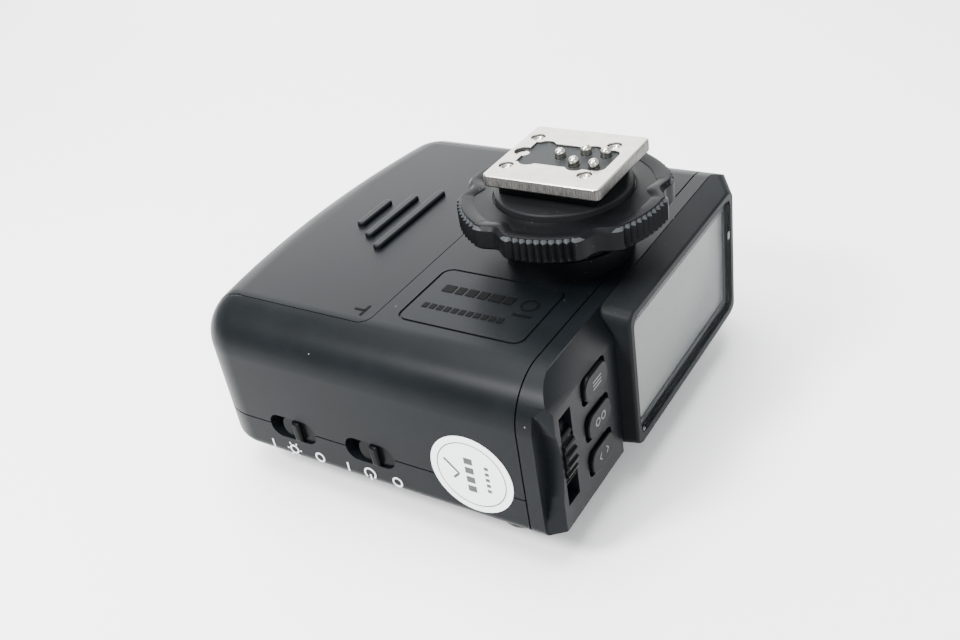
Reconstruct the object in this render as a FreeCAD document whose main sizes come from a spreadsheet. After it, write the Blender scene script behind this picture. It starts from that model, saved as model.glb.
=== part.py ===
import FreeCAD, Part
import math
import os
import re

import Sketcher
from FreeCAD import Rotation, Vector

# Wireless flash trigger, lying on its top with the camera foot upwards.  Millimetres.
# +Z leaves through the foot, -Y is the side with the display and the keys, +Y is the front with
# the battery door, -X is the side with the two slide switches.  The origin is in the middle of
# the outline, on the plane that the shoe plateau rests on.

SIZES = {
    # Case: outline, levels and walls
    "body_half": 37.0, "front_depth": 37.0, "front_bow": 167.0, "corner_bend": 9.0,
    "face_level": 34.0, "parting_level": 13.6, "cover_low": 6.6, "wall": 2.0,
    "top_round": 8.0, "low_round": 2.0, "rear_seam": -29.3, "seam_gap": 0.12,
    "lip_inset": 1.1, "rebate_inset": 1.0, "lip_rise": 0.8, "lip_play": 0.1, "past": 1.0,
    # Shoe plateau and the shoe in it
    "plateau_half": 26.0, "plateau_rear": -28.0, "plateau_front": 28.0, "plateau_taper": 3.0,
    "plateau_rear_taper": 5.0, "recess_half": 10.75, "recess_depth": 5.0, "recess_front": -1.9,
    "rail_half": 10.6, "rail_front": -2.1, "rail_rear": -21.4, "rail_wall": 1.2,
    "rail_lip_low": 1.0, "rail_lip": 1.0, "rail_plate": 4.2, "lip_gap_half": 6.25,
    "shoe_block_half": 3.6, "shoe_block_rear": -15.6, "shoe_block_front": -6.4, "shoe_block_top": 7.4,
    "shoe_centre": -11.0, "rivet_bend": 0.8, "rivet_low": 3.9, "shoe_screw_x": 4.6, "shoe_screw_y": 6.1,
    "hollow_half": 21.0, "hollow_rear": 2.0, "hollow_front": 23.0,
    # Case screws
    "screw_x": 33.0, "screw_front": 26.0, "screw_rear": -10.5, "boss_bend": 2.4, "boss_top": 30.0,
    "screw_bend": 1.0, "screw_play": 0.1, "head_bend": 1.9, "head_top": 8.0, "head_low": 6.9,
    "screw_end": 22.0,
    # Foot
    "foot_y": -19.75, "plate_top": 50.5, "plate_thick": 2.0, "plate_half": 9.3, "plate_rear": -11.0,
    "plate_front": 9.0, "plate_corner": 1.0, "plate_bevel": 0.35, "foot_screw_x": 5.2,
    "foot_screw_y": 6.75, "foot_screw_bend": 0.7, "foot_head_bend": 1.2, "shoe_head_bend": 1.45,
    "foot_screw_end": 44.6,
    "neck_half": 6.2, "neck_reach": 8.4, "stem_bend": 10.5, "stem_top": 44.0, "root_bend": 8.2,
    "flange_half": 13.5, "flange_front": 13.5, "flange_low": 30.4, "root_bore": 5.0, "stem_step": 36.0,
    "root_play": 0.1, "well_half": 3.4, "well_rear": -8.15, "well_front": 1.4, "board_half": 3.2,
    "thread_pitch": 2.4, "thread_deep": 0.55,
    "insulator_low": 46.5, "insulator_sunk": 0.3, "insulator_half": 3.6, "insulator_corner": 1.3,
    "insulator_rear": -8.9, "insulator_front": 6.1,
    "lobe_x": 2.7, "lobe_bend": 1.7, "lobe_rear": -4.1, "lobe_front": 4.1, "ear_bend": 1.45,
    "block_half": 3.9, "block_rear": -7.9, "block_front": 5.2,
    # Contacts and lock pin of the foot
    "pin_bend": 0.85, "pin_play": 0.05, "pin_proud": 1.2, "pin_travel": 1.0, "pin_shoulder": 1.15,
    "pin_shoulder_low": 45.2, "pin_row_near": -3.4, "pin_row_far": -6.8, "pin_column": 2.1,
    "lock_y": 6.65, "lock_bend": 1.0, "lock_sunk": 0.45, "post_bend": 0.7,
    # Clamp washer and lock ring
    "washer_bend": 11.1, "washer_top": 45.9, "washer_thick": 1.2, "neck_play": 0.1,
    "ring_bend": 17.2, "ring_top": 45.05, "ring_low": 40.9, "ring_play": 0.07, "ring_scallop": 15.7,
    "tooth_deep": 0.7, "ring_chamfer": 0.55, "lobe_turn": 15.0, "lobe_span": 35.0, "washer_gap": 0.05,
    # Rear bezel and key panel
    "step_line": -31.9, "panel_face": -34.5, "panel_wall": 2.0, "bezel_wall": 2.6, "tongue_reach": 1.1,
    "panel_left": -34.9,
    "panel_right": -15.5, "panel_low": 7.6, "panel_high": 29.5, "scoop_bend": 25.0,
    "scoop_x": -59.1, "dial_level": 19.7,
    # Keys
    "key_left": -26.6, "key_right": -19.3, "key_tall": 4.4, "key_top_level": 27.0,
    "key_middle_level": 20.2, "key_low_level": 13.5, "key_proud": 0.6,
    "key_gap": 0.3, "key_corner": 1.9, "key_hole_corner": 1.2, "key_edge": 0.25, "key_flange": 0.8,
    # Select dial and the test button
    "dial_y": -25.3, "dial_bend": 10.0, "dial_left": -33.45, "dial_right": -30.45, "slot_play": 0.2,
    "slot_low": 11.6, "slot_high": 27.8, "dial_axle": 1.5, "dial_teeth": 36, "dial_groove": 0.45,
    "test_x": -30.75, "test_y": -24.5, "test_bend": 4.0, "test_low": 3.0, "test_round": 2.6,
    "test_play": 0.2, "test_flange": 4.7, "test_travel": 0.4,
    # Display
    "frame_left": -14.9, "frame_right": 27.6, "frame_low": 8.4, "frame_high": 33.5,
    "frame_foot_right": 36.0, "frame_foot_low": 7.4, "frame_foot_high": 33.9, "display_face": -37.0,
    "window_left": -13.6, "window_right": 26.4, "window_low": 10.0, "window_high": 32.2,
    "window_thick": 1.0, "mask_thick": 0.2, "view_left": -12.6, "view_right": 25.2,
    "view_low": 11.6, "view_high": 30.0, "lcd_margin": 0.6, "lcd_thick": 1.7, "light_thick": 1.4,
    # Slide switches on the side
    "slot_long": 9.7, "slot_tall": 4.5, "slot_corner": 2.1, "power_y": 15.5, "lamp_y": -0.6,
    "switch_level": 13.5,
    "knob_long": 7.2, "knob_tall": 4.3, "knob_sunk": 0.45, "knob_ridge": 0.6, "knob_travel": 2.4,
    "ridge_wide": 1.5, "knob_flange": 0.8,
    # Battery door, tray and cells
    "door_half": 30.2, "door_rear": 0.2, "door_low": 26.0, "door_thick": 1.6, "door_gap": 0.15,
    "door_corner": 2.0, "rib_wide": 1.7, "rib_high": 0.8, "rib_first": 12.3, "rib_pitch": 3.95,
    "rib_long": 21.5, "rib_step": 6.0, "hook_low": 29.2, "hook_high": 30.1,
    "hook_thick": 0.55, "hook_rear": 3.0, "hook_front": 18.0, "tray_half": 28.9, "tray_lip": 0.45,
    "tray_lip_thick": 0.6,
    "tray_rear": 0.9, "tray_front": 32.2, "tray_low": 15.6, "tray_high": 30.9, "tray_wall": 0.6,
    "tray_floor": 1.4, "cell_bend": 7.25, "cell_half": 25.0, "cell_level": 24.5,
    "cell_first": 9.0, "cell_second": 24.2,
    # Label, boards and small parts
    "label_left": -27.4, "label_right": -11.9, "label_rear": -25.8, "label_front": -3.2,
    "label_line": 0.45, "label_corner": 2.0, "label_deep": 0.25, "sticker_y": -20.25,
    "sticker_level": 15.7,
    "sticker_bend": 7.2, "sticker_thick": 0.1, "board_low": 10.6, "board_thick": 1.6,
    "lens_half": 10.0, "lens_low": 15.0, "lens_high": 24.0, "lens_thick": 1.8,
    "jack_y": -3.0, "jack_level": 20.0, "jack_bore": 1.3, "jack_collar": 3.0, "jack_proud": 0.6,
    "usb_y": 9.0, "usb_level": 19.5, "usb_half_wide": 3.9, "usb_half_tall": 1.5,
}

document = FreeCAD.newDocument("flash_trigger")
sheet = document.addObject("Spreadsheet::Sheet", "sizes")
for row, (alias, amount) in enumerate(SIZES.items(), start=1):
    sheet.set("A%d" % row, alias)
    sheet.set("B%d" % row, str(amount))
    sheet.setAlias("B%d" % row, alias)
document.recompute()

AXIS_TURN = {
    "X": Rotation(Vector(0, 1, 0), 90),
    "Y": Rotation(Vector(1, 0, 0), -90),
    "Z": Rotation(),
}
subparts = []


# ---------------------------------------------------------------- helpers

def number(alias):
    """Value of one cell of the sheet."""
    return float(sheet.get(alias))


def link(item, prop, text):
    """Bind a property to a formula of the sheet's aliases."""
    linked = re.sub(r"[a-z][a-z_]+", lambda word: "sizes." + word.group(), str(text))
    item.setExpression(prop, linked)


def place(item, base):
    """Bind the three coordinates of an object's base point."""
    for axis, text in zip("xyz", base):
        link(item, ".Placement.Base." + axis, text)


def block(name, low, high):
    """Box between two corners given as formulas."""
    item = document.addObject("Part::Box", name)
    for prop, first, last in zip(("Length", "Width", "Height"), low, high):
        link(item, prop, "(%s) - (%s)" % (last, first))
    place(item, low)
    return item


def rod(name, base, radius, length, axis="Z"):
    """Cylinder that starts at a base point and runs along one axis."""
    item = document.addObject("Part::Cylinder", name)
    item.Placement = FreeCAD.Placement(Vector(), AXIS_TURN[axis])
    link(item, "Radius", radius)
    link(item, "Height", length)
    place(item, base)
    return item


def taper(name, base, low_radius, high_radius, length):
    """Upright cone frustum."""
    item = document.addObject("Part::Cone", name)
    link(item, "Radius1", low_radius)
    link(item, "Radius2", high_radius)
    link(item, "Height", length)
    place(item, base)
    return item


def fuse(name, *items):
    """Union, or a group when the solids stand apart."""
    item = document.addObject("Part::MultiFuse", name)
    item.Shapes = list(items)
    return item


def cut(name, base, *tools):
    """Base without the tools."""
    item = document.addObject("Part::Cut", name)
    item.Base = base
    item.Tool = tools[0] if len(tools) == 1 else fuse(name + "_tools", *tools)
    return item


def common(name, first, second):
    """What two solids share."""
    item = document.addObject("Part::Common", name)
    item.Base = first
    item.Tool = second
    return item


def edge_names(shape, test):
    """Names of the edges whose bounding box passes the test."""
    return ["Edge%d" % (index + 1) for index, edge in enumerate(shape.Edges) if test(edge.BoundBox)]


def lies_at(axis, level):
    """Test for edges that lie in one plane across an axis."""
    def test(box):
        low, high = getattr(box, axis + "Min"), getattr(box, axis + "Max")
        return abs(low - level) < 0.01 and abs(high - level) < 0.01
    return test


def runs_along(axis):
    """Test for straight edges parallel to an axis."""
    others = [other for other in "XYZ" if other != axis]
    return lambda box: all(getattr(box, other + "Length") < 0.01 for other in others)


def soften(name, base, radius, test):
    """Fillet of the chosen edges of a finished shape."""
    document.recompute()
    item = document.addObject("Part::Fillet", name)
    item.Base = base
    item.Edges = [(int(edge[4:]), radius, radius) for edge in edge_names(base.Shape, test)]
    return item


def open_sketch(body, name, role, height, shift=("0", "0")):
    """Sketch on one of the body's own origin planes, moved along its normal and in its plane."""
    sketch = body.newObject("Sketcher::SketchObject", name)
    plane = next(item for item in body.Origin.OriginFeatures if item.Role == role)
    sketch.AttachmentSupport = [(plane, "")]
    sketch.MapMode = "FlatFace"
    for axis, text in zip("xyz", (*shift, height)):
        link(sketch, ".AttachmentOffset.Base." + axis, text)
    return sketch


def bind_point(sketch, geometry, end, texts, prefix):
    """Dimension one point of a sketch from the sketch's origin."""
    for kind, text in zip(("DistanceX", "DistanceY"), texts):
        start = 1.0 if kind == "DistanceX" else 2.0
        index = sketch.addConstraint(Sketcher.Constraint(kind, -1, 1, geometry, end, start))
        sketch.renameConstraint(index, prefix + kind)
        link(sketch, "Constraints." + prefix + kind, text)


def add_rectangle(sketch, low, high):
    """Closed rectangle with both corners dimensioned."""
    corners = [Vector(1, 2, 0), Vector(5, 2, 0), Vector(5, 6, 0), Vector(1, 6, 0)]
    for index in range(4):
        sketch.addGeometry(Part.LineSegment(corners[index], corners[(index + 1) % 4]), False)
    for index in range(4):
        sketch.addConstraint(Sketcher.Constraint("Coincident", index, 2, (index + 1) % 4, 1))
        direction = "Vertical" if index % 2 else "Horizontal"
        sketch.addConstraint(Sketcher.Constraint(direction, index))
    bind_point(sketch, 0, 1, low, "low")
    bind_point(sketch, 2, 1, high, "high")


def add_circle(sketch, centre, radius):
    """Circle with its centre and radius dimensioned."""
    sketch.addGeometry(Part.Circle(Vector(1, 2, 0), Vector(0, 0, 1), 1.0), False)
    bind_point(sketch, 0, 3, centre, "centre")
    index = sketch.addConstraint(Sketcher.Constraint("Radius", 0, 1.0))
    sketch.renameConstraint(index, "radius")
    link(sketch, "Constraints.radius", radius)


def add_fillet(body, name, radius, test):
    """PartDesign fillet of the chosen edges of the body's newest feature."""
    document.recompute()
    base = body.Tip
    item = body.newObject("PartDesign::Fillet", name)
    item.Base = (base, edge_names(base.Shape, test))
    link(item, "Radius", radius)
    return item


def slab(name, role, low, high, start, length, rounds=()):
    """Padded rectangle; rounds lists (radius formula, edge test) pairs."""
    body = document.addObject("PartDesign::Body", name)
    sketch = open_sketch(body, name + "_outline", role, start)
    add_rectangle(sketch, low, high)
    pad = body.newObject("PartDesign::Pad", name + "_pad")
    pad.Profile = sketch
    link(pad, "Length", length)
    for index, (radius, test) in enumerate(rounds):
        add_fillet(body, "%s_round_%d" % (name, index), radius, test)
    return body


def disc(name, role, centre, radius, start, length, rounds=()):
    """Padded circle; rounds lists (radius formula, edge test) pairs."""
    body = document.addObject("PartDesign::Body", name)
    sketch = open_sketch(body, name + "_outline", role, start)
    add_circle(sketch, centre, radius)
    pad = body.newObject("PartDesign::Pad", name + "_pad")
    pad.Profile = sketch
    link(pad, "Length", length)
    for index, (radius_text, test) in enumerate(rounds):
        add_fillet(body, "%s_round_%d" % (name, index), radius_text, test)
    return body


def lofted(name, role, first, second, radius, test):
    """Loft between two rectangles, each given as (height, low, high), with rounded long edges."""
    body = document.addObject("PartDesign::Body", name)
    sketches = []
    for index, (height, low, high) in enumerate((first, second)):
        sketches.append(open_sketch(body, "%s_section_%d" % (name, index), role, height))
        add_rectangle(sketches[-1], low, high)
    loft = body.newObject("PartDesign::AdditiveLoft", name + "_loft")
    loft.Profile = sketches[0]
    loft.Sections = [sketches[1]]
    if radius:
        add_fillet(body, name + "_round", radius, test)
    return body


def hull(name, inset, low, high, top_round="", low_round="", rear="rear_seam"):
    """Pad of the case outline, inset by a wall: two sides, a bowed front and two corner bends."""
    gap = number(inset) if inset in SIZES else 0.0
    half, bend, bow = number("body_half"), number("corner_bend"), number("front_bow")
    bow_centre = number("front_depth") - bow
    corner_x = half - bend
    corner_y = bow_centre + math.sqrt((bow - bend) ** 2 - corner_x ** 2)
    turn = math.atan2(corner_y - bow_centre, corner_x)
    side, rear_y = half - gap, number("rear_seam")
    body = document.addObject("PartDesign::Body", name)
    sketch = open_sketch(body, name + "_outline", "XY_Plane", low)
    flat = Vector(0, 0, 1)
    right = Part.Circle(Vector(corner_x, corner_y, 0), flat, bend - gap)
    left = Part.Circle(Vector(-corner_x, corner_y, 0), flat, bend - gap)
    front = Part.Circle(Vector(0, bow_centre, 0), flat, bow - gap)
    shapes = [
        Part.LineSegment(Vector(-side, rear_y, 0), Vector(side, rear_y, 0)),
        Part.LineSegment(Vector(side, rear_y, 0), Vector(side, corner_y, 0)),
        Part.ArcOfCircle(right, 0, turn),
        Part.ArcOfCircle(front, turn, math.pi - turn),
        Part.ArcOfCircle(left, math.pi - turn, math.pi),
        Part.LineSegment(Vector(-side, corner_y, 0), Vector(-side, rear_y, 0)),
    ]
    sketch.addGeometry(shapes, False)
    rules = [
        ("Coincident", 0, 1, 5, 2), ("Coincident", 0, 2, 1, 1), ("Horizontal", 0), ("Vertical", 1),
        ("Vertical", 5), ("Tangent", 1, 2, 2, 1), ("Tangent", 2, 2, 3, 1), ("Tangent", 3, 2, 4, 1),
        ("Tangent", 4, 2, 5, 1), ("Equal", 2, 4), ("PointOnObject", 3, 3, -2),
    ]
    for rule in rules:
        sketch.addConstraint(Sketcher.Constraint(*rule))
    dimensions = [
        ("side", ("DistanceX", -1, 1, 0, 2, side), "body_half - (%s)" % inset),
        ("other_side", ("DistanceX", 0, 1, -1, 1, side), "body_half - (%s)" % inset),
        ("rear", ("DistanceY", -1, 1, 0, 1, rear_y), rear),
        ("bend", ("Radius", 2, bend - gap), "corner_bend - (%s)" % inset),
        ("bow", ("Radius", 3, bow - gap), "front_bow - (%s)" % inset),
        ("bow_centre", ("DistanceY", -1, 1, 3, 3, bow_centre), "front_depth - front_bow"),
    ]
    for label, rule, text in dimensions:
        index = sketch.addConstraint(Sketcher.Constraint(*rule))
        sketch.renameConstraint(index, label)
        link(sketch, "Constraints." + label, text)
    pad = body.newObject("PartDesign::Pad", name + "_pad")
    pad.Profile = sketch
    link(pad, "Length", "(%s) - (%s)" % (high, low))
    for label, radius, along in (("top", top_round, max), ("low", low_round, min)):
        if radius:
            document.recompute()
            box = body.Tip.Shape.BoundBox
            level = along(box.ZMin, box.ZMax)
            edge_y = box.YMin
            in_plane = lies_at("Z", level)
            add_fillet(body, "%s_%s_round" % (name, label), radius,
                       lambda edge: in_plane(edge) and edge.YMax > edge_y + 0.01)
    return body


def keep(item, node):
    """Register a finished sub-part under its node name."""
    item.Label = node
    subparts.append(item)
    return item


def computed(name, shape):
    """Sub-part whose shape is worked out by a formula."""
    item = document.addObject("Part::Feature", name)
    item.Shape = shape
    item.Placement = FreeCAD.Placement()
    return item


# ---------------------------------------------------------------- shared solids of the case

outer = hull("outer_hull", "0", "cover_low", "face_level", "top_round", "low_round")
inner = hull("inner_hull", "wall", "cover_low + wall", "face_level - wall", "top_round - wall", "",
             "rear_seam - past")
CASE_SCREWS = [(side, front) for side in ("-screw_x", "screw_x") for front in ("screw_rear",
                                                                               "screw_front")]


def switch_slot(name, centre):
    """Slot in the side wall for one slide switch."""
    return slab(name, "YZ_Plane", (centre + " - slot_long / 2", "switch_level - slot_tall / 2"),
                (centre + " + slot_long / 2", "switch_level + slot_tall / 2"), "-body_half - past",
                "wall + past * 2", [("slot_corner", runs_along("X"))])


power_slot = switch_slot("power_slot", "power_y")
lamp_slot = switch_slot("lamp_slot", "lamp_y")


def door_zone(name, gap):
    """Block around the battery door, grown by a gap, with rounded rear corners."""
    rear = number("door_rear") + 1.0
    return slab(name, "XY_Plane", ("-door_half - " + gap, "door_rear - " + gap),
                ("door_half + " + gap, "front_depth + past"), "door_low - " + gap,
                "face_level + past - door_low + " + gap,
                [("door_corner", lambda box: runs_along("Z")(box) and box.YMax < rear)])


def make_base_shell():
    """Half of the case that carries the foot, above the parting line."""
    zone = block("upper_zone", ("-body_half - past", "rear_seam + seam_gap", "parting_level + seam_gap"),
                 ("body_half + past", "front_depth + past", "face_level + past"))
    solid = cut("upper_wall", common("upper_solid", outer, zone), inner)
    bosses = [rod("boss_%d" % index, (x, y, "parting_level"), "boss_bend", "boss_top - parting_level")
              for index, (x, y) in enumerate(CASE_SCREWS)]
    rebate = hull("lip_rebate", "rebate_inset", "parting_level - past",
                  "parting_level + lip_rise + lip_play", rear="rear_seam - past")
    pilots = [rod("pilot_%d" % index, (x, y, "parting_level"), "screw_bend", "screw_end - parting_level")
              for index, (x, y) in enumerate(CASE_SCREWS)]
    stem = rod("stem_opening", ("0", "foot_y", "flange_low"), "root_bend + root_play", "face_level")
    lens = block("lens_opening", ("-lens_half", "front_depth - corner_bend", "lens_low"),
                 ("lens_half", "front_depth + past", "lens_high"))
    jack = rod("jack_opening", ("body_half - wall - past", "jack_y", "jack_level"), "jack_collar",
               "wall + past + past", "X")
    usb = block("usb_opening",
                ("body_half - wall - past", "usb_y - usb_half_wide - door_gap",
                 "usb_level - usb_half_tall - door_gap"),
                ("body_half + past", "usb_y + usb_half_wide + door_gap",
                 "usb_level + usb_half_tall + door_gap"))
    label = cut("label_groove",
                slab("label_outside", "XY_Plane", ("label_left", "label_rear"),
                     ("label_right", "label_front"),
                     "face_level - label_deep", "label_deep + past", [("label_corner", runs_along("Z"))]),
                slab("label_inside", "XY_Plane", ("label_left + label_line", "label_rear + label_line"),
                     ("label_right - label_line", "label_front - label_line"), "face_level - wall",
                     "wall + past * 2", [("label_corner - label_line", runs_along("Z"))]))
    return cut("base_shell_solid", fuse("base_with_bosses", solid, *bosses), rebate, *pilots,
               stem, lens, jack, usb, label, door_zone("door_opening", "door_gap"), power_slot, lamp_slot)


def make_top_cover():
    """Half of the case below the parting line, with the shoe plateau that it rests on."""
    zone = block("lower_zone", ("-body_half - past", "rear_seam + seam_gap", "cover_low - past"),
                 ("body_half + past", "front_depth + past", "parting_level - seam_gap"))
    solid = cut("lower_wall", common("lower_solid", outer, zone), inner)
    lip_zone = block("lip_zone", ("-body_half", "rear_seam + seam_gap", "parting_level - past"),
                     ("body_half", "front_depth", "parting_level + lip_rise"))
    lip = cut("lip_ring", common("lip_solid", hull("lip_hull", "lip_inset", "cover_low",
                                                   "parting_level + lip_rise"), lip_zone), inner)
    pyramid = document.addObject("Part::Wedge", "plateau_block")
    pyramid.Placement = FreeCAD.Placement(Vector(), Rotation(Vector(1, 0, 0), 90))
    for prop, text in (("Xmin", "plateau_taper - plateau_half"), ("Xmax", "plateau_half - plateau_taper"),
                       ("X2min", "-plateau_half"), ("X2max", "plateau_half"), ("Ymin", "0"),
                       ("Ymax", "cover_low + wall / 2"), ("Zmin", "plateau_taper - plateau_front"),
                       ("Zmax", "-plateau_rear - plateau_rear_taper"), ("Z2min", "-plateau_front"),
                       ("Z2max", "-plateau_rear")):
        link(pyramid, prop, text)
    plateau = soften("plateau", pyramid, number("low_round"), lambda edge: edge.ZLength > 1.0)
    posts = [rod("post_%d" % index, (x, y, "cover_low + low_round / 4"), "boss_bend",
                 "parting_level + lip_rise - cover_low - low_round / 4")
             for index, (x, y) in enumerate(CASE_SCREWS)]
    heads = [rod("counterbore_%d" % index, (x, y, "cover_low - past"), "head_bend + screw_play",
                 "head_top - cover_low + past") for index, (x, y) in enumerate(CASE_SCREWS)]
    holes = [rod("post_hole_%d" % index, (x, y, "cover_low"), "screw_bend + screw_play", "parting_level")
             for index, (x, y) in enumerate(CASE_SCREWS)]
    recess = block("shoe_recess", ("-recess_half", "plateau_rear - past", "-past"),
                   ("recess_half", "recess_front", "recess_depth"))
    pocket = block("shoe_block_pocket", ("-shoe_block_half", "shoe_block_rear", "0"),
                   ("shoe_block_half", "shoe_block_front", "shoe_block_top"))
    hollow = block("plateau_hollow", ("-hollow_half", "hollow_rear", "wall"),
                   ("hollow_half", "hollow_front", "cover_low + wall + past"))
    pilots = [rod("shoe_pilot_%d" % index, (x, y, "recess_depth"), "foot_screw_bend", "past + wall")
              for index, (x, y) in enumerate(SHOE_SCREWS)]
    test = rod("test_hole", ("test_x", "test_y", "0"), "test_bend + test_play", "parting_level")
    seat = rod("test_seat", ("test_x", "test_y", "cover_low + past"), "test_flange + test_play", "wall")
    return cut("top_cover_solid", fuse("cover_with_plateau", solid, lip, plateau, *posts), *heads, *holes,
               recess, pocket, hollow, *pilots, test, seat, power_slot, lamp_slot)


# ---------------------------------------------------------------- shoe on the plateau

SHOE_SCREWS = [(x, "shoe_centre %s shoe_screw_y" % sign) for x in ("-shoe_screw_x", "shoe_screw_x")
               for sign in "+-"]


def make_shoe():
    """Rails, insulator, contact rivets and screws of the shoe that takes a flash."""
    channel = block("rail_channel", ("-rail_half", "rail_rear", "rail_lip_low"),
                    ("rail_half", "rail_front", "recess_depth"))
    foot_space = block("rail_foot_space", ("rail_wall - rail_half", "rail_rear - past",
                                           "rail_lip_low + rail_lip"),
                       ("rail_half - rail_wall", "rail_front - rail_wall", "rail_plate"))
    lip_space = block("rail_lip_space", ("-lip_gap_half", "rail_rear - past", "0"),
                      ("lip_gap_half", "rail_front - rail_wall", "rail_plate"))
    opening = block("rail_block_opening", ("-shoe_block_half", "shoe_block_rear", "0"),
                    ("shoe_block_half", "shoe_block_front", "recess_depth + past"))
    holes = [rod("rail_hole_%d" % index, (x, y, "rail_plate"), "foot_screw_bend", "recess_depth")
             for index, (x, y) in enumerate(SHOE_SCREWS)]
    keep(cut("rails", channel, foot_space, lip_space, opening, *holes), "shoe_rails")
    rivets = [("0", "shoe_centre"), ("-pin_column", "shoe_centre - pin_row_near"),
              ("pin_column", "shoe_centre - pin_row_near"), ("-pin_column", "shoe_centre + pin_row_near"),
              ("pin_column", "shoe_centre + pin_row_near")]
    insulator = block("shoe_block", ("-shoe_block_half", "shoe_block_rear", "rail_plate"),
                      ("shoe_block_half", "shoe_block_front", "shoe_block_top"))
    keep(cut("shoe_block_drilled", insulator,
             *[rod("rivet_hole_%d" % index, (x, y, "0"), "rivet_bend", "shoe_block_top + past")
               for index, (x, y) in enumerate(rivets)]), "shoe_insulator")
    keep(fuse("rivets", *[rod("rivet_%d" % index, (x, y, "rivet_low"), "rivet_bend",
                              "shoe_block_top - rivet_low") for index, (x, y) in enumerate(rivets)]),
         "shoe_contacts")
    screws = [fuse("shoe_screw_%d" % index,
                   rod("shoe_head_%d" % index, (x, y, "rail_plate - rail_lip / 2"), "shoe_head_bend",
                       "rail_lip / 2"),
                   rod("shoe_shank_%d" % index, (x, y, "rail_plate"), "foot_screw_bend",
                       "wall + rail_lip / 2"))
              for index, (x, y) in enumerate(SHOE_SCREWS)]
    keep(fuse("shoe_screw_group", *screws), "shoe_screws")


# ---------------------------------------------------------------- rear bezel, keys and display

KEYS = (("mode", "key_top_level"), ("group", "key_middle_level"), ("channel", "key_low_level"))


def case_section(name, inset, start, length, top, low):
    """Slice of the case's cross-section, made from a start plane towards the rear."""
    high = [(top, lambda box: runs_along("Y")(box) and box.ZMin > number("parting_level"))] if top else []
    under = [(low,
              lambda box: runs_along("Y")(box) and box.ZMin < number("parting_level"))] if low else []
    return slab(name, "XZ_Plane", ("-body_half + " + inset, "cover_low + " + inset),
                ("body_half - (%s)" % inset, "face_level - (%s)" % inset), "-(%s)" % start, length,
                high + under)


def make_rear_bezel():
    """Band behind the rear seam with the bevelled key panel, its openings and an inner tongue."""
    band = case_section("bezel_band", "0", "rear_seam - seam_gap", "rear_seam - seam_gap - step_line",
                        "top_round", "low_round")
    tongue = case_section("bezel_tongue", "wall + lip_play", "rear_seam + tongue_reach",
                          "tongue_reach + past",
                          "top_round - wall", "")
    wedge = lofted("key_panel", "XZ_Plane",
                   ("-step_line - seam_gap", ("panel_left - low_round + label_line",
                                              "cover_low + label_line"),
                    ("panel_right", "face_level")),
                   ("-panel_face", ("panel_left", "panel_low"), ("panel_right", "panel_high")), "", None)
    panel = common("key_panel_clipped", wedge,
                   case_section("panel_limit", "0", "step_line + past", "past + step_line - panel_face",
                                "top_round", "low_round"))
    cuts = [
        case_section("bezel_hollow", "bezel_wall", "rear_seam + bezel_wall",
                     "bezel_wall + rear_seam - step_line - past",
                     "top_round - bezel_wall", ""),
        block("panel_hollow", ("dial_right + slot_play + rail_lip", "panel_face + panel_wall",
                               "panel_low + wall"),
              ("panel_right - wall", "rear_seam", "panel_high + key_flange")),
        block("dial_slot", ("dial_left - slot_play", "panel_face - past", "slot_low"),
              ("dial_right + slot_play", "rear_seam", "slot_high")),
        rod("dial_clearance", ("dial_left - slot_play", "dial_y", "dial_level"),
            "dial_bend + slot_play * 1.5",
            "dial_right - dial_left + slot_play * 2", "X"),
        rod("finger_scoop", ("scoop_x", "panel_face - past", "dial_level"), "scoop_bend",
            "step_line - panel_face + past", "Y"),
        block("display_opening", ("view_left + wall", "step_line - past", "view_low"),
              ("view_right - wall", "rear_seam", "view_high")),
    ]
    for key, level in KEYS:
        cuts.append(slab(key + "_opening", "XZ_Plane",
                         ("key_left - key_gap", level + " - key_tall / 2 - key_gap"),
                         ("key_right + key_gap", level + " + key_tall / 2 + key_gap"), "-rear_seam",
                         "rear_seam - panel_face + past", [("key_hole_corner", runs_along("Y"))]))
    keep(cut("bezel_cut", fuse("bezel_solid", band, tongue, panel), *cuts), "rear_bezel")


def make_keys():
    """Three keys with retaining flanges, the keypad behind them and the switches on the board."""
    proud = number("panel_face") - number("key_proud")
    for key, level in KEYS:
        cap = slab(key + "_cap", "XZ_Plane", ("key_left", level + " - key_tall / 2"),
                   ("key_right", level + " + key_tall / 2"), "-(panel_face + panel_wall)",
                   "panel_wall + key_proud",
                   [("key_corner", runs_along("Y")), ("key_edge", lies_at("Y", proud))])
        flange = block(key + "_flange",
                       ("key_left - key_flange", "panel_face + panel_wall + key_edge",
                        level + " - key_tall / 2 - key_flange"),
                       ("key_right + key_flange", "panel_face + panel_wall + key_edge + key_flange",
                        level + " + key_tall / 2 + key_flange"))
        neck = block(key + "_neck", ("key_left + key_corner", "panel_face + panel_wall - past",
                                     level + " - key_corner"),
                     ("key_right - key_corner", "panel_face + panel_wall + key_edge + key_flange",
                      level + " + key_corner"))
        keep(fuse(key + "_key", cap, flange, neck), key + "_button")
    middle = "(key_left + key_right) / 2"
    keep(block("keypad_mat", ("key_left + rail_lip", "rear_seam - past", "panel_low + wall + wall"),
               ("key_right + rail_lip", "rear_seam - past / 2", "panel_high - wall / 2")), "keypad")
    keep(fuse("tact_switches", *[block(key + "_switch",
                                       (middle + " - wall", "rear_seam - past / 2", level + " - wall"),
                                       (middle + " + wall", "rear_seam + key_proud", level + " + wall"))
                                 for key, level in KEYS]), "key_switches")


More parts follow.
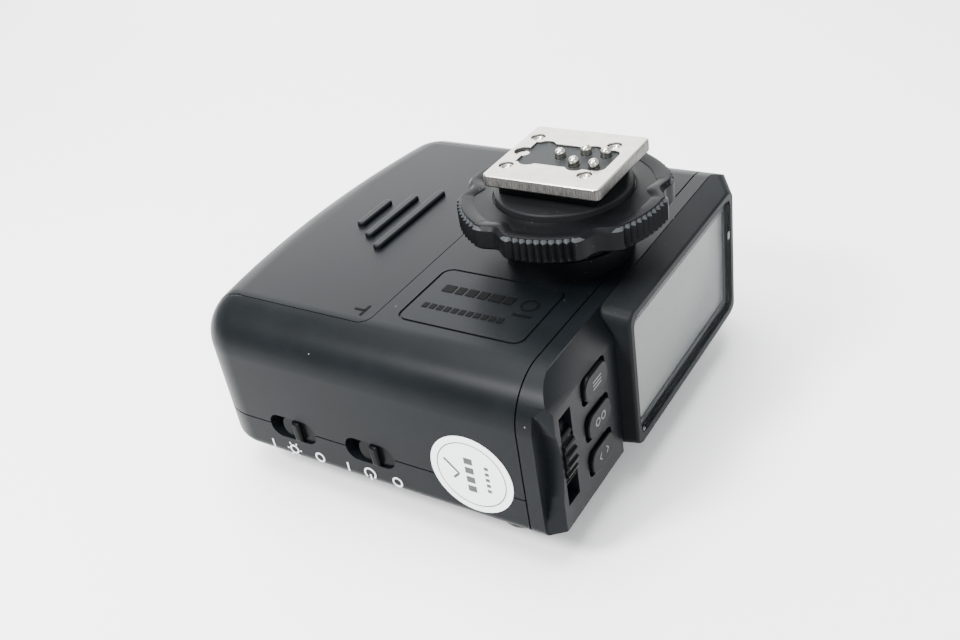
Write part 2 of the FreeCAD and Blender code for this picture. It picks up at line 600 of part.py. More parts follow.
def make_display():
    """Raised display box with its window, mask film, display cell and light guide."""
    box = lofted("display_box", "XZ_Plane",
                 ("-step_line", ("frame_left", "frame_foot_low"),
                  ("frame_foot_right", "frame_foot_high")),
                 ("-display_face", ("frame_left", "frame_low"), ("frame_right", "frame_high")),
                 "low_round", lambda edge: edge.YLength > 1.0)
    limit = case_section("display_limit", "0", "step_line", "step_line - display_face", "top_round", "")
    recess = slab("window_recess", "XZ_Plane", ("window_left", "window_low"),
                  ("window_right", "window_high"),
                  "-(display_face + window_thick)", "window_thick + past",
                  [("low_round", runs_along("Y"))])
    tunnel = block("display_tunnel", ("window_left + mask_thick * 2", "display_face",
                                      "window_low + mask_thick * 2"),
                   ("window_right - mask_thick * 2", "step_line + past", "window_high - mask_thick * 2"))
    rim = number("display_face")
    frame = soften("display_frame_solid", common("display_clipped", box, limit), number("label_line"),
                   lies_at("Y", rim))
    keep(cut("display_frame_cut", frame, recess, tunnel), "display_frame")
    keep(slab("window_pane", "XZ_Plane", ("window_left + lip_play", "window_low + lip_play"),
              ("window_right - lip_play", "window_high - lip_play"), "-(display_face + window_thick)",
              "window_thick",
              [("low_round - lip_play", runs_along("Y")), ("mask_thick", lies_at("Y", rim))]),
              "display_window")
    tunnel_low = ("window_left + mask_thick * 3", "window_low + mask_thick * 3")
    tunnel_high = ("window_right - mask_thick * 3", "window_high - mask_thick * 3")
    film = block("mask_film", (tunnel_low[0], "display_face + window_thick", tunnel_low[1]),
                 (tunnel_high[0], "display_face + window_thick + mask_thick", tunnel_high[1]))
    view = block("mask_view", ("view_left", "display_face", "view_low"),
                 ("view_right", "step_line", "view_high"))
    keep(cut("mask_cut", film, view), "display_mask")
    glass = "display_face + window_thick + mask_thick"
    keep(block("lcd_glass", ("view_left - lcd_margin", glass, "view_low - lcd_margin"),
               ("view_right + lcd_margin", glass + " + lcd_thick", "view_high + lcd_margin")),
               "lcd_panel")
    keep(block("lcd_light", ("view_left - lcd_margin", glass + " + lcd_thick", "view_low - lcd_margin"),
               ("view_right + lcd_margin", glass + " + lcd_thick + light_thick",
                "view_high + lcd_margin")), "lcd_frame")
    keep(block("rear_board", ("key_left + past", "rear_seam + key_proud", "panel_low + wall + wall / 4"),
               ("door_half - past", "rear_seam + key_proud + board_thick", "panel_high + past / 2")),
               "display_board")
    keep(block("flex", ("view_right - wall * 6", "step_line - mask_thick * 3", "view_low + past"),
               ("view_right - wall * 2", "rear_seam + key_proud", "view_low + past + mask_thick")),
               "ribbon_cable")


def make_dial():
    """Toothed select dial on the encoder's axle."""
    body = document.addObject("PartDesign::Body", "dial")
    sketch = open_sketch(body, "dial_outline", "YZ_Plane", "dial_left", ("dial_y", "dial_level"))
    add_circle(sketch, ("0", "0"), "dial_bend")
    pad = body.newObject("PartDesign::Pad", "dial_pad")
    pad.Profile = sketch
    link(pad, "Length", "dial_right - dial_left")
    document.recompute()
    groove = open_sketch(body, "dial_groove_outline", "YZ_Plane", "dial_right", ("dial_y", "dial_level"))
    add_circle(groove, ("dial_bend + dial_groove * 0.2", "0"), "dial_groove * 1.2")
    pocket = body.newObject("PartDesign::Pocket", "dial_pocket")
    pocket.Profile = groove
    link(pocket, "Length", "dial_right - dial_left")
    document.recompute()
    teeth = body.newObject("PartDesign::PolarPattern", "dial_teeth_pattern")
    teeth.Originals = [pocket]
    teeth.Axis = (sketch, ["N_Axis"])
    teeth.Angle = 360
    teeth.Occurrences = int(number("dial_teeth"))
    body.Tip = teeth
    bore = rod("dial_bore", ("dial_left - past", "dial_y", "dial_level"), "dial_axle",
               "wall + wall + past", "X")
    keep(cut("dial_bored", body, bore), "select_dial")
    axle = rod("encoder_axle", ("dial_left - key_edge", "dial_y", "dial_level"), "dial_axle - pin_play",
               "dial_right - dial_left + key_edge * 2", "X")
    case = block("encoder_case", ("dial_right + key_edge", "dial_y - wall * 2", "dial_level - wall * 2"),
                 ("key_left + mask_thick", "dial_y + wall * 2", "dial_level + wall * 2"))
    keep(fuse("encoder", axle, case), "dial_encoder")


def make_test_button():
    """Domed test button in the cover's shoulder, with its flange and its switch."""
    low = number("test_low")
    dome = disc("test_dome", "XY_Plane", ("test_x", "test_y"), "test_bend", "test_low",
                "cover_low + past - test_low", [("test_round", lies_at("Z", low))])
    flange = rod("test_rim", ("test_x", "test_y", "cover_low + past + lip_play"), "test_flange",
                 "test_travel")
    neck = rod("test_neck", ("test_x", "test_y", "cover_low"), "test_bend - past",
               "past + lip_play + test_travel")
    keep(fuse("test_key", dome, flange, neck), "test_button")
    keep(block("test_tact", ("dial_right + past", "test_y - wall", "cover_low + wall + test_travel"),
               ("dial_right + past + wall", "test_y + wall", "board_low")), "test_switch")


# ---------------------------------------------------------------- side switches

def make_switch(name, centre):
    """Slide knob at the rear end of its slot, and the switch behind it."""
    rest = centre + " - knob_travel / 2"
    plate = slab(name + "_plate", "YZ_Plane", (rest + " - knob_long / 2", "switch_level - knob_tall / 2"),
                 (rest + " + knob_long / 2", "switch_level + knob_tall / 2"), "knob_sunk - body_half",
                 "wall - knob_sunk + lip_play", [("slot_corner - lip_play", runs_along("X"))])
    ridge = slab(name + "_ridge", "YZ_Plane", (rest + " - ridge_wide / 2",
                                               "switch_level - knob_tall / 2 + lip_play * 2"),
                 (rest + " + ridge_wide / 2", "switch_level + knob_tall / 2 - lip_play * 2"),
                 "-body_half - knob_ridge", "knob_ridge + past",
                 [("ridge_wide / 3", lies_at("X", -number("body_half") - number("knob_ridge")))])
    flange = block(name + "_flange", ("wall - body_half + lip_play",
                                      rest + " - slot_long / 2 - knob_flange * 1.5",
                                      "switch_level - slot_tall / 2 - knob_flange"),
                   ("wall - body_half + lip_play + knob_flange",
                    rest + " + slot_long / 2 + knob_flange * 1.5",
                    "switch_level + slot_tall / 2 + knob_flange"))
    peg = block(name + "_peg", ("wall - body_half", rest + " - ridge_wide / 2",
                                "switch_level - ridge_wide / 2"),
                ("wall * 2 - body_half + ridge_wide", rest + " + ridge_wide / 2",
                 "switch_level + ridge_wide / 2"))
    keep(fuse(name + "_slider", plate, ridge, flange, peg), name + "_knob")
    case = block(name + "_case", ("wall * 2 - body_half - key_edge",
                                  centre + " - slot_long / 2 - rail_lip",
                                  "switch_level - wall - key_edge"),
                 ("-body_half + wall * 4 - key_edge", centre + " + slot_long / 2 + rail_lip",
                  "switch_level + wall - key_edge"))
    groove = block(name + "_groove", ("wall - body_half", centre + " - slot_long / 2 + key_edge",
                                      "switch_level - ridge_wide / 2 - key_edge"),
                   ("-body_half + wall * 3 + past / 2", centre + " + slot_long / 2 - key_edge",
                    "switch_level + ridge_wide / 2 + key_edge"))
    keep(cut(name + "_switch_solid", case, groove), name + "_switch")


# ---------------------------------------------------------------- foot and its clamp

PINS = [("0", "foot_y"), ("-pin_column", "foot_y + pin_row_near"),
        ("pin_column", "foot_y + pin_row_near"),
        ("-pin_column", "foot_y + pin_row_far"), ("pin_column", "foot_y + pin_row_far")]
FOOT_SCREWS = [(x, "foot_y %s foot_screw_y" % sign) for x in ("-foot_screw_x",
                                                              "foot_screw_x") for sign in "+-"]


def insulator_outline(name, low, high):
    """Waisted insulator outline: trunk, two pairs of side lobes and an ear around the lock pin."""
    rear = number("foot_y") + number("insulator_rear") + number("past")
    tall = "(%s) - (%s)" % (high, low)
    trunk = soften(name + "_trunk_soft",
                   block(name + "_trunk", ("-insulator_half", "foot_y + insulator_rear", low),
                         ("insulator_half", "foot_y + insulator_front", high)),
                   number("insulator_corner"), lambda box: runs_along("Z")(box) and box.YMax < rear)
    spots = [(x, y) for x in ("-lobe_x", "lobe_x") for y in ("lobe_rear", "lobe_front")]
    lobes = [rod("%s_lobe_%d" % (name, index), (x, "foot_y + " + y, low), "lobe_bend", tall)
             for index, (x, y) in enumerate(spots)]
    ear = rod(name + "_ear", ("0", "foot_y + lock_y", low), "ear_bend", tall)
    return fuse(name, trunk, ear, *lobes)


def make_foot():
    """Stem, plate, insulator, screws, contact pins and the little board below them."""
    under = "plate_top - plate_thick"
    screw_holes = [rod("plate_hole_%d" % index, (x, y, "foot_screw_end"), "foot_screw_bend", "plate_top")
                   for index, (x, y) in enumerate(FOOT_SCREWS)]
    sinks = [rod("plate_sink_%d" % index, (x, y, "plate_top - plate_thick / 2"), "foot_head_bend",
                 "plate_thick")
             for index, (x, y) in enumerate(FOOT_SCREWS)]
    top, bottom = number("plate_top"), number("plate_top") - number("plate_thick")
    plate = slab("plate_blank", "XY_Plane", ("-plate_half", "foot_y + plate_rear"),
                 ("plate_half", "foot_y + plate_front"),
                 under, "plate_thick", [("plate_corner", runs_along("Z")),
                                        ("plate_bevel", lies_at("Z", top)),
                                        ("plate_bevel", lies_at("Z", bottom))])
    keep(cut("plate_cut", plate, insulator_outline("insulator_opening", under + " - past",
                                                   "plate_top + past"),
             *screw_holes, *sinks), "foot_plate")

    pin_holes = [rod("pin_hole_%d" % index, (x, y, "insulator_low - past"), "pin_bend + pin_play",
                     "plate_top")
                 for index, (x, y) in enumerate(PINS)]
    lock_hole = rod("lock_hole", ("0", "foot_y + lock_y", under + " - past"), "lock_bend + pin_play",
                    "plate_thick + past + past")
    low_block = block("insulator_block", ("-block_half", "foot_y + block_rear", "insulator_low"),
                      ("block_half", "foot_y + block_front", under))
    keep(cut("insulator_drilled", fuse("insulator_solid",
                                       insulator_outline("insulator_top", under,
                                                         "plate_top - insulator_sunk"),
                                       low_block), *pin_holes, lock_hole), "foot_insulator")

    neck = block("neck", ("-neck_half", "foot_y - neck_reach", "stem_top - past"),
                 ("neck_half", "foot_y + neck_reach - neck_play * 3", under))
    stem = rod("stem", ("0", "foot_y", "face_level"), "stem_bend", "stem_top - face_level")
    root = rod("stem_root", ("0", "foot_y", "flange_low"), "root_bend", "face_level - flange_low + past")
    flange = block("stem_flange", ("-flange_half", "foot_y - root_bend", "flange_low"),
                   ("flange_half", "foot_y + flange_front", "face_level - wall"))
    pocket = block("neck_pocket", ("-block_half", "foot_y + block_rear", "insulator_low"),
                   ("block_half", "foot_y + block_front", "plate_top"))
    wells = [rod("pin_well_%d" % index, (x, y, "stem_top - past * 2"), "pin_shoulder + pin_play * 2",
                 "insulator_low - stem_top + past * 2")
             for index, (x, y) in enumerate(PINS)]
    bore = rod("root_hole", ("0", "foot_y", "flange_low - past"), "root_bore",
               "stem_step - flange_low + past")
    well = block("board_well", ("-well_half", "foot_y + well_rear", "stem_step"),
                 ("well_half", "foot_y + well_front", "stem_top - past"))
    key_way = block("lock_key_way", ("-lock_bend - neck_play * 2",
                                     "foot_y + lock_y - lock_bend - neck_play * 2", "stem_top"),
                    ("lock_bend + neck_play * 2", "foot_y + neck_reach + past", "plate_top"))
    shanks = [rod("stem_pilot_%d" % index, (x, y, "foot_screw_end"), "foot_screw_bend", "plate_top")
              for index, (x, y) in enumerate(FOOT_SCREWS)]
    grooves = []
    for turn in range(3):
        level = "stem_step + thread_pitch * %.1f" % (turn + 0.5)
        grooves.append(cut("thread_groove_%d" % turn,
                           rod("groove_outside_%d" % turn, ("0", "foot_y", level), "stem_bend + past",
                               "thread_pitch / 2"),
                           rod("groove_inside_%d" % turn, ("0", "foot_y", level),
                               "stem_bend - thread_deep", "thread_pitch / 2")))
    keep(cut("stem_cut", fuse("stem_solid", stem, root, flange, neck), pocket, *wells, bore, well,
             key_way, *shanks, *grooves),
         "foot_stem")

    screws = [fuse("foot_screw_%d" % index,
                   rod("foot_head_%d" % index, (x, y, "plate_top - plate_thick / 2"), "foot_head_bend",
                       "plate_thick / 2 - insulator_sunk"),
                   rod("foot_shank_%d" % index, (x, y, "foot_screw_end"), "foot_screw_bend",
                       under + " - foot_screw_end + plate_thick / 2"))
              for index, (x, y) in enumerate(FOOT_SCREWS)]
    slots = [block("foot_screw_slot_%d" % index, (x + " - foot_head_bend", y + " - neck_play * 2",
                                                  "plate_top - plate_thick / 3"),
                   (x + " + foot_head_bend", y + " + neck_play * 2", "plate_top")) for index,
                   (x, y) in enumerate(FOOT_SCREWS)]
    keep(cut("foot_screw_group", fuse("foot_screw_blanks", *screws), *slots), "foot_screws")

    for index, (x, y) in enumerate(PINS):
        label = "contact_pin_%d" % (index + 1)
        shaft = rod(label + "_shaft", (x, y, "pin_shoulder_low"), "pin_bend",
                    "plate_top + pin_proud / 2 - pin_shoulder_low")
        tip = taper(label + "_tip", (x, y, "plate_top + pin_proud / 2"), "pin_bend", "pin_bend / 2",
                    "pin_proud / 2")
        shoulder = rod(label + "_shoulder", (x, y, "pin_shoulder_low"), "pin_shoulder",
                       "insulator_low - pin_shoulder_low - neck_play")
        keep(fuse(label + "_solid", shaft, tip, shoulder), label)

    posts = [rod("pin_post_%d" % index, (x, y, "stem_top - wall * 2"), "post_bend",
                 "pin_shoulder_low - pin_travel - neck_play - stem_top + wall * 2") for index,
                 (x, y) in enumerate(PINS)]
    disc_board = block("foot_board_plate", ("-board_half", "foot_y + well_rear + neck_play * 2",
                                            "stem_top - wall * 2"),
                       ("board_half", "foot_y + well_front - neck_play * 2",
                        "stem_top - wall * 2 + past"))
    keep(fuse("foot_board", disc_board, *posts), "foot_contact_board")
    keep(rod("harness", ("0", "foot_y", "board_low + board_thick"), "past",
             "stem_top - wall * 2 - board_low - board_thick"),
         "foot_harness")


def make_clamp():
    """Keyed washer with the lock pin, and the knurled ring that lifts them."""
    low = "washer_top - washer_thick"
    washer = rod("washer", ("0", "foot_y", low), "washer_bend", "washer_thick")
    key_hole = block("washer_hole", ("-neck_half - neck_play", "foot_y - neck_reach - neck_play",
                                     "stem_top"),
                     ("neck_half + neck_play", "foot_y + neck_reach - neck_play * 2", "plate_top"))
    arm = block("washer_arm", ("neck_play - lock_bend", "foot_y + lock_y + neck_play * 3", low),
                ("lock_bend - neck_play", "foot_y + neck_reach + past", "washer_top"))
    washer_solid = soften("washer_soft", washer, number("plate_bevel"),
                          lies_at("Z", number("washer_top")))
    pin_space = rod("washer_pin_hole", ("0", "foot_y + lock_y", "stem_top"), "lock_bend", "plate_top")
    keep(cut("washer_drilled", fuse("washer_keyed", cut("washer_open", washer_solid, key_hole), arm),
             pin_space), "clamp_washer")
    keep(rod("locking_pin", ("0", "foot_y + lock_y", low), "lock_bend",
             "plate_top - lock_sunk - washer_top + washer_thick"),
         "lock_pin")


def make_lock_ring():
    """Ring with six knurled lobes: trapezoid teeth on each lobe and a smooth scallop between."""
    tip, valley = number("ring_bend"), number("ring_bend") - number("tooth_deep")
    span, first, lobes, teeth = number("lobe_span"), number("lobe_turn"), 6, 9
    low, top = number("ring_low"), number("ring_top")

    def point(radius, degrees):
        angle = math.radians(degrees)
        return Vector(radius * math.cos(angle), radius * math.sin(angle), low)

    edges = []
    for lobe in range(lobes):
        start = first + lobe * 360 / lobes - span / 2
        pitch = span / teeth
        corners = [point(tip, start)]
        for tooth in range(teeth):
            corners += [point(valley, start + (tooth + 0.5) * pitch),
                        point(tip, start + (tooth + 1) * pitch)]
        edges += [Part.LineSegment(one, two).toShape() for one, two in zip(corners, corners[1:])]
        gap = 360 / lobes - span
        middle = point(number("ring_scallop"), start + span + gap / 2)
        edges.append(Part.Arc(corners[-1], middle, point(tip, start + 360 / lobes)).toShape())
    blank = Part.Face(Part.Wire(edges)).extrude(Vector(0, 0, top - low))

    washer_floor = number("washer_top") - number("washer_thick") - number("washer_gap")
    washer_space = number("washer_bend") + 4 * number("washer_gap")
    bore = number("stem_bend") + number("ring_play")
    bevel = number("ring_chamfer")
    profile = [(bore, low), (tip - bevel, low), (tip + 0.1, low + bevel), (tip + 0.1, top - bevel),
               (tip - bevel, top), (number("ring_scallop") - 0.4, top),
               (number("ring_scallop") - 1.4, top - bevel),
               (washer_space, top - bevel / 3), (washer_space, washer_floor), (bore, washer_floor)]
    corners = [Vector(radius, 0, level) for radius, level in profile]
    section = Part.Face(Part.makePolygon(corners + corners[:1]))
    turned = section.revolve(Vector(), Vector(0, 0, 1), 360)
    ring = computed("lock_ring_solid", blank.common(turned))
    place(ring, ("0", "foot_y", "0"))
    keep(ring, "lock_ring")


# ---------------------------------------------------------------- battery compartment

def make_battery_door():
    """Door that follows the case's curves, with finger ribs and two tongues under the shell."""
    skin = cut("door_skin", common("door_solid", outer, door_zone("door_block", "0")),
               hull("door_inside", "door_thick", "cover_low", "face_level - door_thick",
                    "top_round - door_thick", ""))
    ribs = []
    for index in range(3):
        reach = "(rib_long - rib_step * %d) / 2" % index
        middle = "rib_first + rib_pitch * %d" % index
        ribs.append(slab("rib_%d" % index, "XY_Plane", ("-(%s)" % reach, middle + " - rib_wide / 2"),
                         (reach, middle + " + rib_wide / 2"), "face_level - door_thick / 2",
                         "rib_high + door_thick / 2",
                         [("rib_wide / 2 - label_deep / 5", runs_along("Z")),
                          ("rib_high / 2", lies_at("Z", number("face_level") + number("rib_high")))]))
    hooks = []
    for side, sign in (("left", "-"), ("right", "")):
        web = ("door_half - door_gap - hook_thick", "door_half - door_gap")
        claw = ("tray_half + neck_play", "door_half - door_gap - hook_thick")
        for name, (near, far), top in (("web", web, "face_level - door_thick / 2"),
                                       ("claw", claw, "hook_high")):
            low, high = (near, far) if not sign else ("-(%s)" % far, "-(%s)" % near)
            hooks.append(block("%s_%s" % (side, name), (low, "hook_rear", "hook_low"),
                               (high, "hook_front", top)))
    keep(fuse("door_with_ribs", skin, *ribs, *hooks), "battery_door")


def make_battery_bay():
    """Tray, two cells and the contact plates at the cells' ends."""
    tray = block("tray_solid", ("-tray_half", "tray_rear", "tray_low"),
                 ("tray_half", "tray_front", "tray_high"))
    space = block("tray_space", ("tray_wall - tray_half", "tray_rear + tray_wall",
                                 "tray_low + tray_floor"),
                  ("tray_half - tray_wall", "tray_front - tray_wall", "tray_high + past"))
    front = block("tray_front_cut", ("-tray_half - past", "cell_second + wall * 2", "door_low"),
                  ("tray_half + past", "tray_front + past", "tray_high + past"))
    lip = block("tray_rim", ("-tray_half - tray_lip", "tray_rear + past", "tray_high - tray_lip_thick"),
                ("tray_half + tray_lip", "cell_second", "tray_high"))
    keep(cut("tray_cut", fuse("tray_with_rim", tray, lip), space, front), "battery_tray")
    for index, middle in enumerate(("cell_first", "cell_second")):
        can = rod("cell_can_%d" % index, ("-cell_half", middle, "cell_level"), "cell_bend",
                  "cell_half * 2 - past", "X")
        nub = rod("cell_nub_%d" % index, ("cell_half - past", middle, "cell_level"), "cell_bend / 3",
                  "past + key_edge", "X")
        keep(fuse("cell_%d" % index, can, nub), "battery_cell_%d" % (index + 1))
    plates = []
    for side, low, high in (("left", "tray_wall - tray_half", "tray_wall - tray_half + mask_thick * 2"),
                            ("right", "tray_half - tray_wall - mask_thick * 2", "tray_half - tray_wall")):
        for index, middle in enumerate(("cell_first", "cell_second")):
            plates.append(block("%s_contact_%d" % (side, index),
                                (low, middle + " - wall * 2", "cell_level - wall * 2"),
                                (high, middle + " + wall * 2", "cell_level + wall * 2")))
    for index, middle in enumerate(("cell_first", "cell_second")):
        for turn in range(3):
            start = "tray_wall - tray_half + mask_thick * 2"
            plates.append(taper("spring_turn_%d_%d" % (index, turn), ("0", "0", "0"),
                                "wall * 1.8 - mask_thick * %d" % (3 * turn),
                                "wall * 1.8 - mask_thick * %d" % (3 * turn + 2), "past"))
            plates[-1].Placement = FreeCAD.Placement(Vector(), AXIS_TURN["X"])
            place(plates[-1], (start + " + past * %d * 0.95" % turn, middle, "cell_level"))
    keep(fuse("bay_contacts", *plates), "battery_contacts")


# ---------------------------------------------------------------- boards, lamp, sockets, label

def make_electronics():
    """Main board with the radio module, its shield can and the printed antenna."""
    top = "board_low + board_thick"
    keep(block("main_board_blank", ("-door_half + past", "rear_seam + wall * 2", "board_low"),
               ("door_half", "tray_front - past", top)), "main_board")
    keep(block("radio_blank", ("wall", "tray_rear + wall", top),
               ("cell_bend * 2 + wall", "cell_first * 2", top + " + past")),
         "radio_module")
    keep(block("shield_blank", ("wall * 2", "tray_rear + wall * 2", top + " + past"),
               ("cell_bend * 2", "cell_first * 2 - wall", "tray_low - past / 2")), "rf_shield")
    keep(block("antenna_blank", ("-cell_bend * 3", "tray_front - wall * 3", top),
               ("-wall", "tray_front - wall", top + " + past / 2")),
         "antenna")


def make_lamp():
    """Red lens flush with the bowed front and the lamp behind it."""
    gap = number("lip_play")
    zone = slab("lens_zone", "XY_Plane", ("-lens_half + lip_play", "front_depth - wall - wall"),
                ("lens_half - lip_play", "front_depth + past"), "lens_low + lip_play",
                "lens_high - lens_low - lip_play * 2",
                [("label_line",
                  lambda box: runs_along("Z")(box) and box.YMin > number("front_depth") + gap)])
    keep(cut("lens_cut", common("lens_solid", outer, zone),
             hull("lens_back", "lens_thick", "cover_low", "face_level - wall", "", "")), "assist_lens")
    keep(rod("lamp", ("0", "tray_front + lip_play", "(lens_low + lens_high) / 2"), "wall",
             "past + label_line", "Y"), "assist_led")


def make_sockets():
    """Sync jack with its collar, and the small data socket, both on the right side."""
    collar = rod("jack_collar_rod", ("body_half - wall * 2", "jack_y", "jack_level"),
                 "jack_collar - lip_play", "wall * 2 + jack_proud", "X")
    barrel = block("jack_case", ("body_half - wall - cell_bend", "jack_y - jack_collar",
                                 "jack_level - jack_collar"),
                   ("body_half - wall - lip_play", "jack_y + jack_collar", "jack_level + jack_collar"))
    bore = rod("jack_bore_rod", ("body_half - cell_bend", "jack_y", "jack_level"), "jack_bore",
               "cell_bend + past", "X")
    keep(cut("jack_cut", fuse("jack_solid", collar, barrel), bore), "sync_jack")
    shell = block("usb_shell", ("door_half - past / 2", "usb_y - usb_half_wide",
                                "usb_level - usb_half_tall"),
                  ("body_half - past / 2", "usb_y + usb_half_wide", "usb_level + usb_half_tall"))
    mouth = block("usb_mouth", ("door_half + past / 2", "usb_y - usb_half_wide + mask_thick * 2",
                                "usb_level - usb_half_tall + mask_thick * 2"),
                  ("body_half + past", "usb_y + usb_half_wide - mask_thick * 2",
                   "usb_level + usb_half_tall - mask_thick * 2"))
    blade = block("usb_blade", ("door_half", "usb_y - wall", "usb_level - mask_thick"),
                  ("body_half - wall", "usb_y + wall", "usb_level + mask_thick"))
    keep(fuse("usb_solid", cut("usb_open", shell, mouth), blade), "usb_socket")


def make_fasteners():
    """Case screws, the screws of the stem's flange and the round label."""
    screws = [fuse("case_screw_%d" % index,
                   rod("case_head_%d" % index, (x, y, "head_low"), "head_bend", "head_top - head_low"),
                   rod("case_shank_%d" % index, (x, y, "head_low"), "screw_bend", "screw_end - head_low"))
              for index, (x, y) in enumerate(CASE_SCREWS)]
    keep(fuse("case_screw_group", *screws), "case_screws")
    keep(rod("sticker", ("-body_half - sticker_thick", "sticker_y", "sticker_level"), "sticker_bend",
             "sticker_thick", "X"),
         "inspection_label")


# ---------------------------------------------------------------- build, check and write

keep(make_base_shell(), "base_shell")
keep(make_top_cover(), "top_cover")
make_shoe()
make_rear_bezel()
make_keys()
make_display()
make_dial()
make_test_button()
make_switch("power", "power_y")
make_switch("lamp", "lamp_y")
make_foot()
make_clamp()
make_lock_ring()
make_battery_door()
make_battery_bay()
make_electronics()
make_lamp()
make_sockets()
make_fasteners()
document.recompute()

for item in document.Objects:
    if "Invalid" in item.State or "Error" in item.State:
        raise RuntimeError("%s is %s" % (item.Name, item.State))
for item in subparts:
    if item.Shape.isNull() or not item.Shape.isValid():
        raise RuntimeError("bad shape: " + item.Label)

os.makedirs("parts", exist_ok=True)
for item in subparts:
    item.Shape.exportStep("parts/%s.step" % item.Label)
    print("%-20s %9.2f mm3 %2d solids" % (item.Label, item.Shape.Volume, len(item.Shape.Solids)))
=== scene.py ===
"""Looks of a wireless flash trigger that lies on its top, with its locking foot upwards."""

import math

import bmesh
import bpy
import numpy as np
from mathutils import Matrix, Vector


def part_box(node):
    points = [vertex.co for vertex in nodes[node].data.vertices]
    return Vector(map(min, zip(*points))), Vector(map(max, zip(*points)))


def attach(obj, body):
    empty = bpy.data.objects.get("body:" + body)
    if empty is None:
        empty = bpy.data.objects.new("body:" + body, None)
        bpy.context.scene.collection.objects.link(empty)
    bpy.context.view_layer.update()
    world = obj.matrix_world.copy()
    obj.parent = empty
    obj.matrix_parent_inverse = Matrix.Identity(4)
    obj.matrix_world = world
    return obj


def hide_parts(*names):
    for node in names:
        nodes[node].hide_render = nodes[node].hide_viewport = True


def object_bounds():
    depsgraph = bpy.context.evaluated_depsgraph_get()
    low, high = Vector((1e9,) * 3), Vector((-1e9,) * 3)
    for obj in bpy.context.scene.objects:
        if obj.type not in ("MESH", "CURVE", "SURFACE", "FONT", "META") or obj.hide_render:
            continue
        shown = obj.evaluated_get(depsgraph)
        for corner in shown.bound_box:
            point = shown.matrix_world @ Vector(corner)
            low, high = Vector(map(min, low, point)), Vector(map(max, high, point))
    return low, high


MM = 0.001
WELD = 1e-7  # metres within which points are one
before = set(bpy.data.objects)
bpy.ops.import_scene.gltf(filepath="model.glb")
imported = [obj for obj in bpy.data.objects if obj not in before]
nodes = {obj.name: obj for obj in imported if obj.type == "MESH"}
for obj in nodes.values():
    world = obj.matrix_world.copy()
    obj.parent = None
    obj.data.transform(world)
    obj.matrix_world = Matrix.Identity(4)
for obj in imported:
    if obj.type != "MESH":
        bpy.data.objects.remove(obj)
cad_low, cad_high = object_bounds()

# ---------------------------------------------------------------- places taken from the frame, in mm


def corners(node):
    """Lowest and highest corner of a CAD node in millimetres."""
    low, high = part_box(node)
    return np.array(low) / MM, np.array(high) / MM


plate_low, plate_high = corners("foot_plate")
ring_low, ring_high = corners("lock_ring")
washer_low, washer_high = corners("clamp_washer")
shell_low, shell_high = corners("base_shell")
cover_low, cover_high = corners("top_cover")
window_low, window_high = corners("display_window")
label_low, label_high = corners("inspection_label")
glass_low, glass_high = corners("lcd_panel")
cell_low, cell_high = corners("battery_cell_1")

foot_axis = (ring_low[:2] + ring_high[:2]) / 2
FACE = shell_high[2]
SIDE = shell_low[0]


# ---------------------------------------------------------------- surfaces


def placed(name, data):
    """New object in the scene that carries a mesh, a lamp or a camera."""
    made = bpy.data.objects.new(name, data)
    bpy.context.scene.collection.objects.link(made)
    return made


def closed_mesh(name, points, faces):
    """Mesh object from point and face arrays, in millimetres, with outward normals."""
    mesh = bpy.data.meshes.new(name)
    mesh.from_pydata((np.asarray(points) * MM).tolist(), [], [list(map(int, face)) for face in faces])
    work = bmesh.new()
    work.from_mesh(mesh)
    bmesh.ops.remove_doubles(work, verts=work.verts, dist=WELD)
    bmesh.ops.recalc_face_normals(work, faces=work.faces)
    work.to_mesh(mesh)
    work.free()
    return placed(name, mesh)


def grid_faces(rows, columns, wrap_rows, wrap_columns):
    """Quads between neighbours of a grid; either direction may close on itself."""
    row = np.arange(rows if wrap_rows else rows - 1)
    column = np.arange(columns if wrap_columns else columns - 1)
    first, second = np.meshgrid(row, column, indexing="ij")
    after, beside = (first + 1) % rows, (second + 1) % columns
    quads = np.stack([first * columns + second, after * columns + second,
                      after * columns + beside, first * columns + beside], axis=-1)
    return quads.reshape(-1, 4)


def smooth_shading(piece, degrees=35.0):
    """Smooth faces with sharp edges kept above an angle."""
    piece.data.polygons.foreach_set("use_smooth", np.ones(len(piece.data.polygons), bool))
    piece.data.set_sharp_from_angle(angle=math.radians(degrees))
    return piece


def turned(name, profile, centre, steps=48):
    """Profile of (radius, height) points carried round an upright axis; its ends lie on the axis."""
    profile = np.asarray(profile, float)
    angle = np.linspace(0, 2 * np.pi, steps, endpoint=False)[:, None]
    radius, height = profile[:, 0][None], profile[:, 1][None]
    points = np.stack([centre[0] + radius * np.cos(angle), centre[1] + radius * np.sin(angle),
                       height + 0 * angle], axis=-1).reshape(-1, 3)
    return smooth_shading(closed_mesh(name, points, grid_faces(steps, len(profile), True, False)), 50)


def ribbon(name, path, width, place, closed=False, thick=0.05):
    """Flat strip of ink or paper: a rectangle of width by thickness carried along a path of the surface.

    place turns an array of (along, up, out) millimetres into points of the object."""
    path = np.asarray(path, float)
    ahead = np.roll(path, -1, 0) - path if closed else np.gradient(path, axis=0)
    if closed:
        ahead = ahead + (path - np.roll(path, 1, 0))
    ahead /= np.linalg.norm(ahead, axis=1)[:, None]
    across = np.stack([-ahead[:, 1], ahead[:, 0]], axis=1) * width / 2
    low, high = np.full((len(path), 1), -thick), np.full((len(path), 1), thick)
    section = [np.hstack([path + across, low]), np.hstack([path - across, low]),
               np.hstack([path - across, high]), np.hstack([path + across, high])]
    points = np.stack(section, axis=1).reshape(-1, 3)
    faces = [list(face) for face in grid_faces(len(path), 4, closed, True)]
    if not closed:
        last = 4 * (len(path) - 1)
        faces += [[0, 1, 2, 3], [last + 3, last + 2, last + 1, last]]
    return closed_mesh(name, place(points), faces)


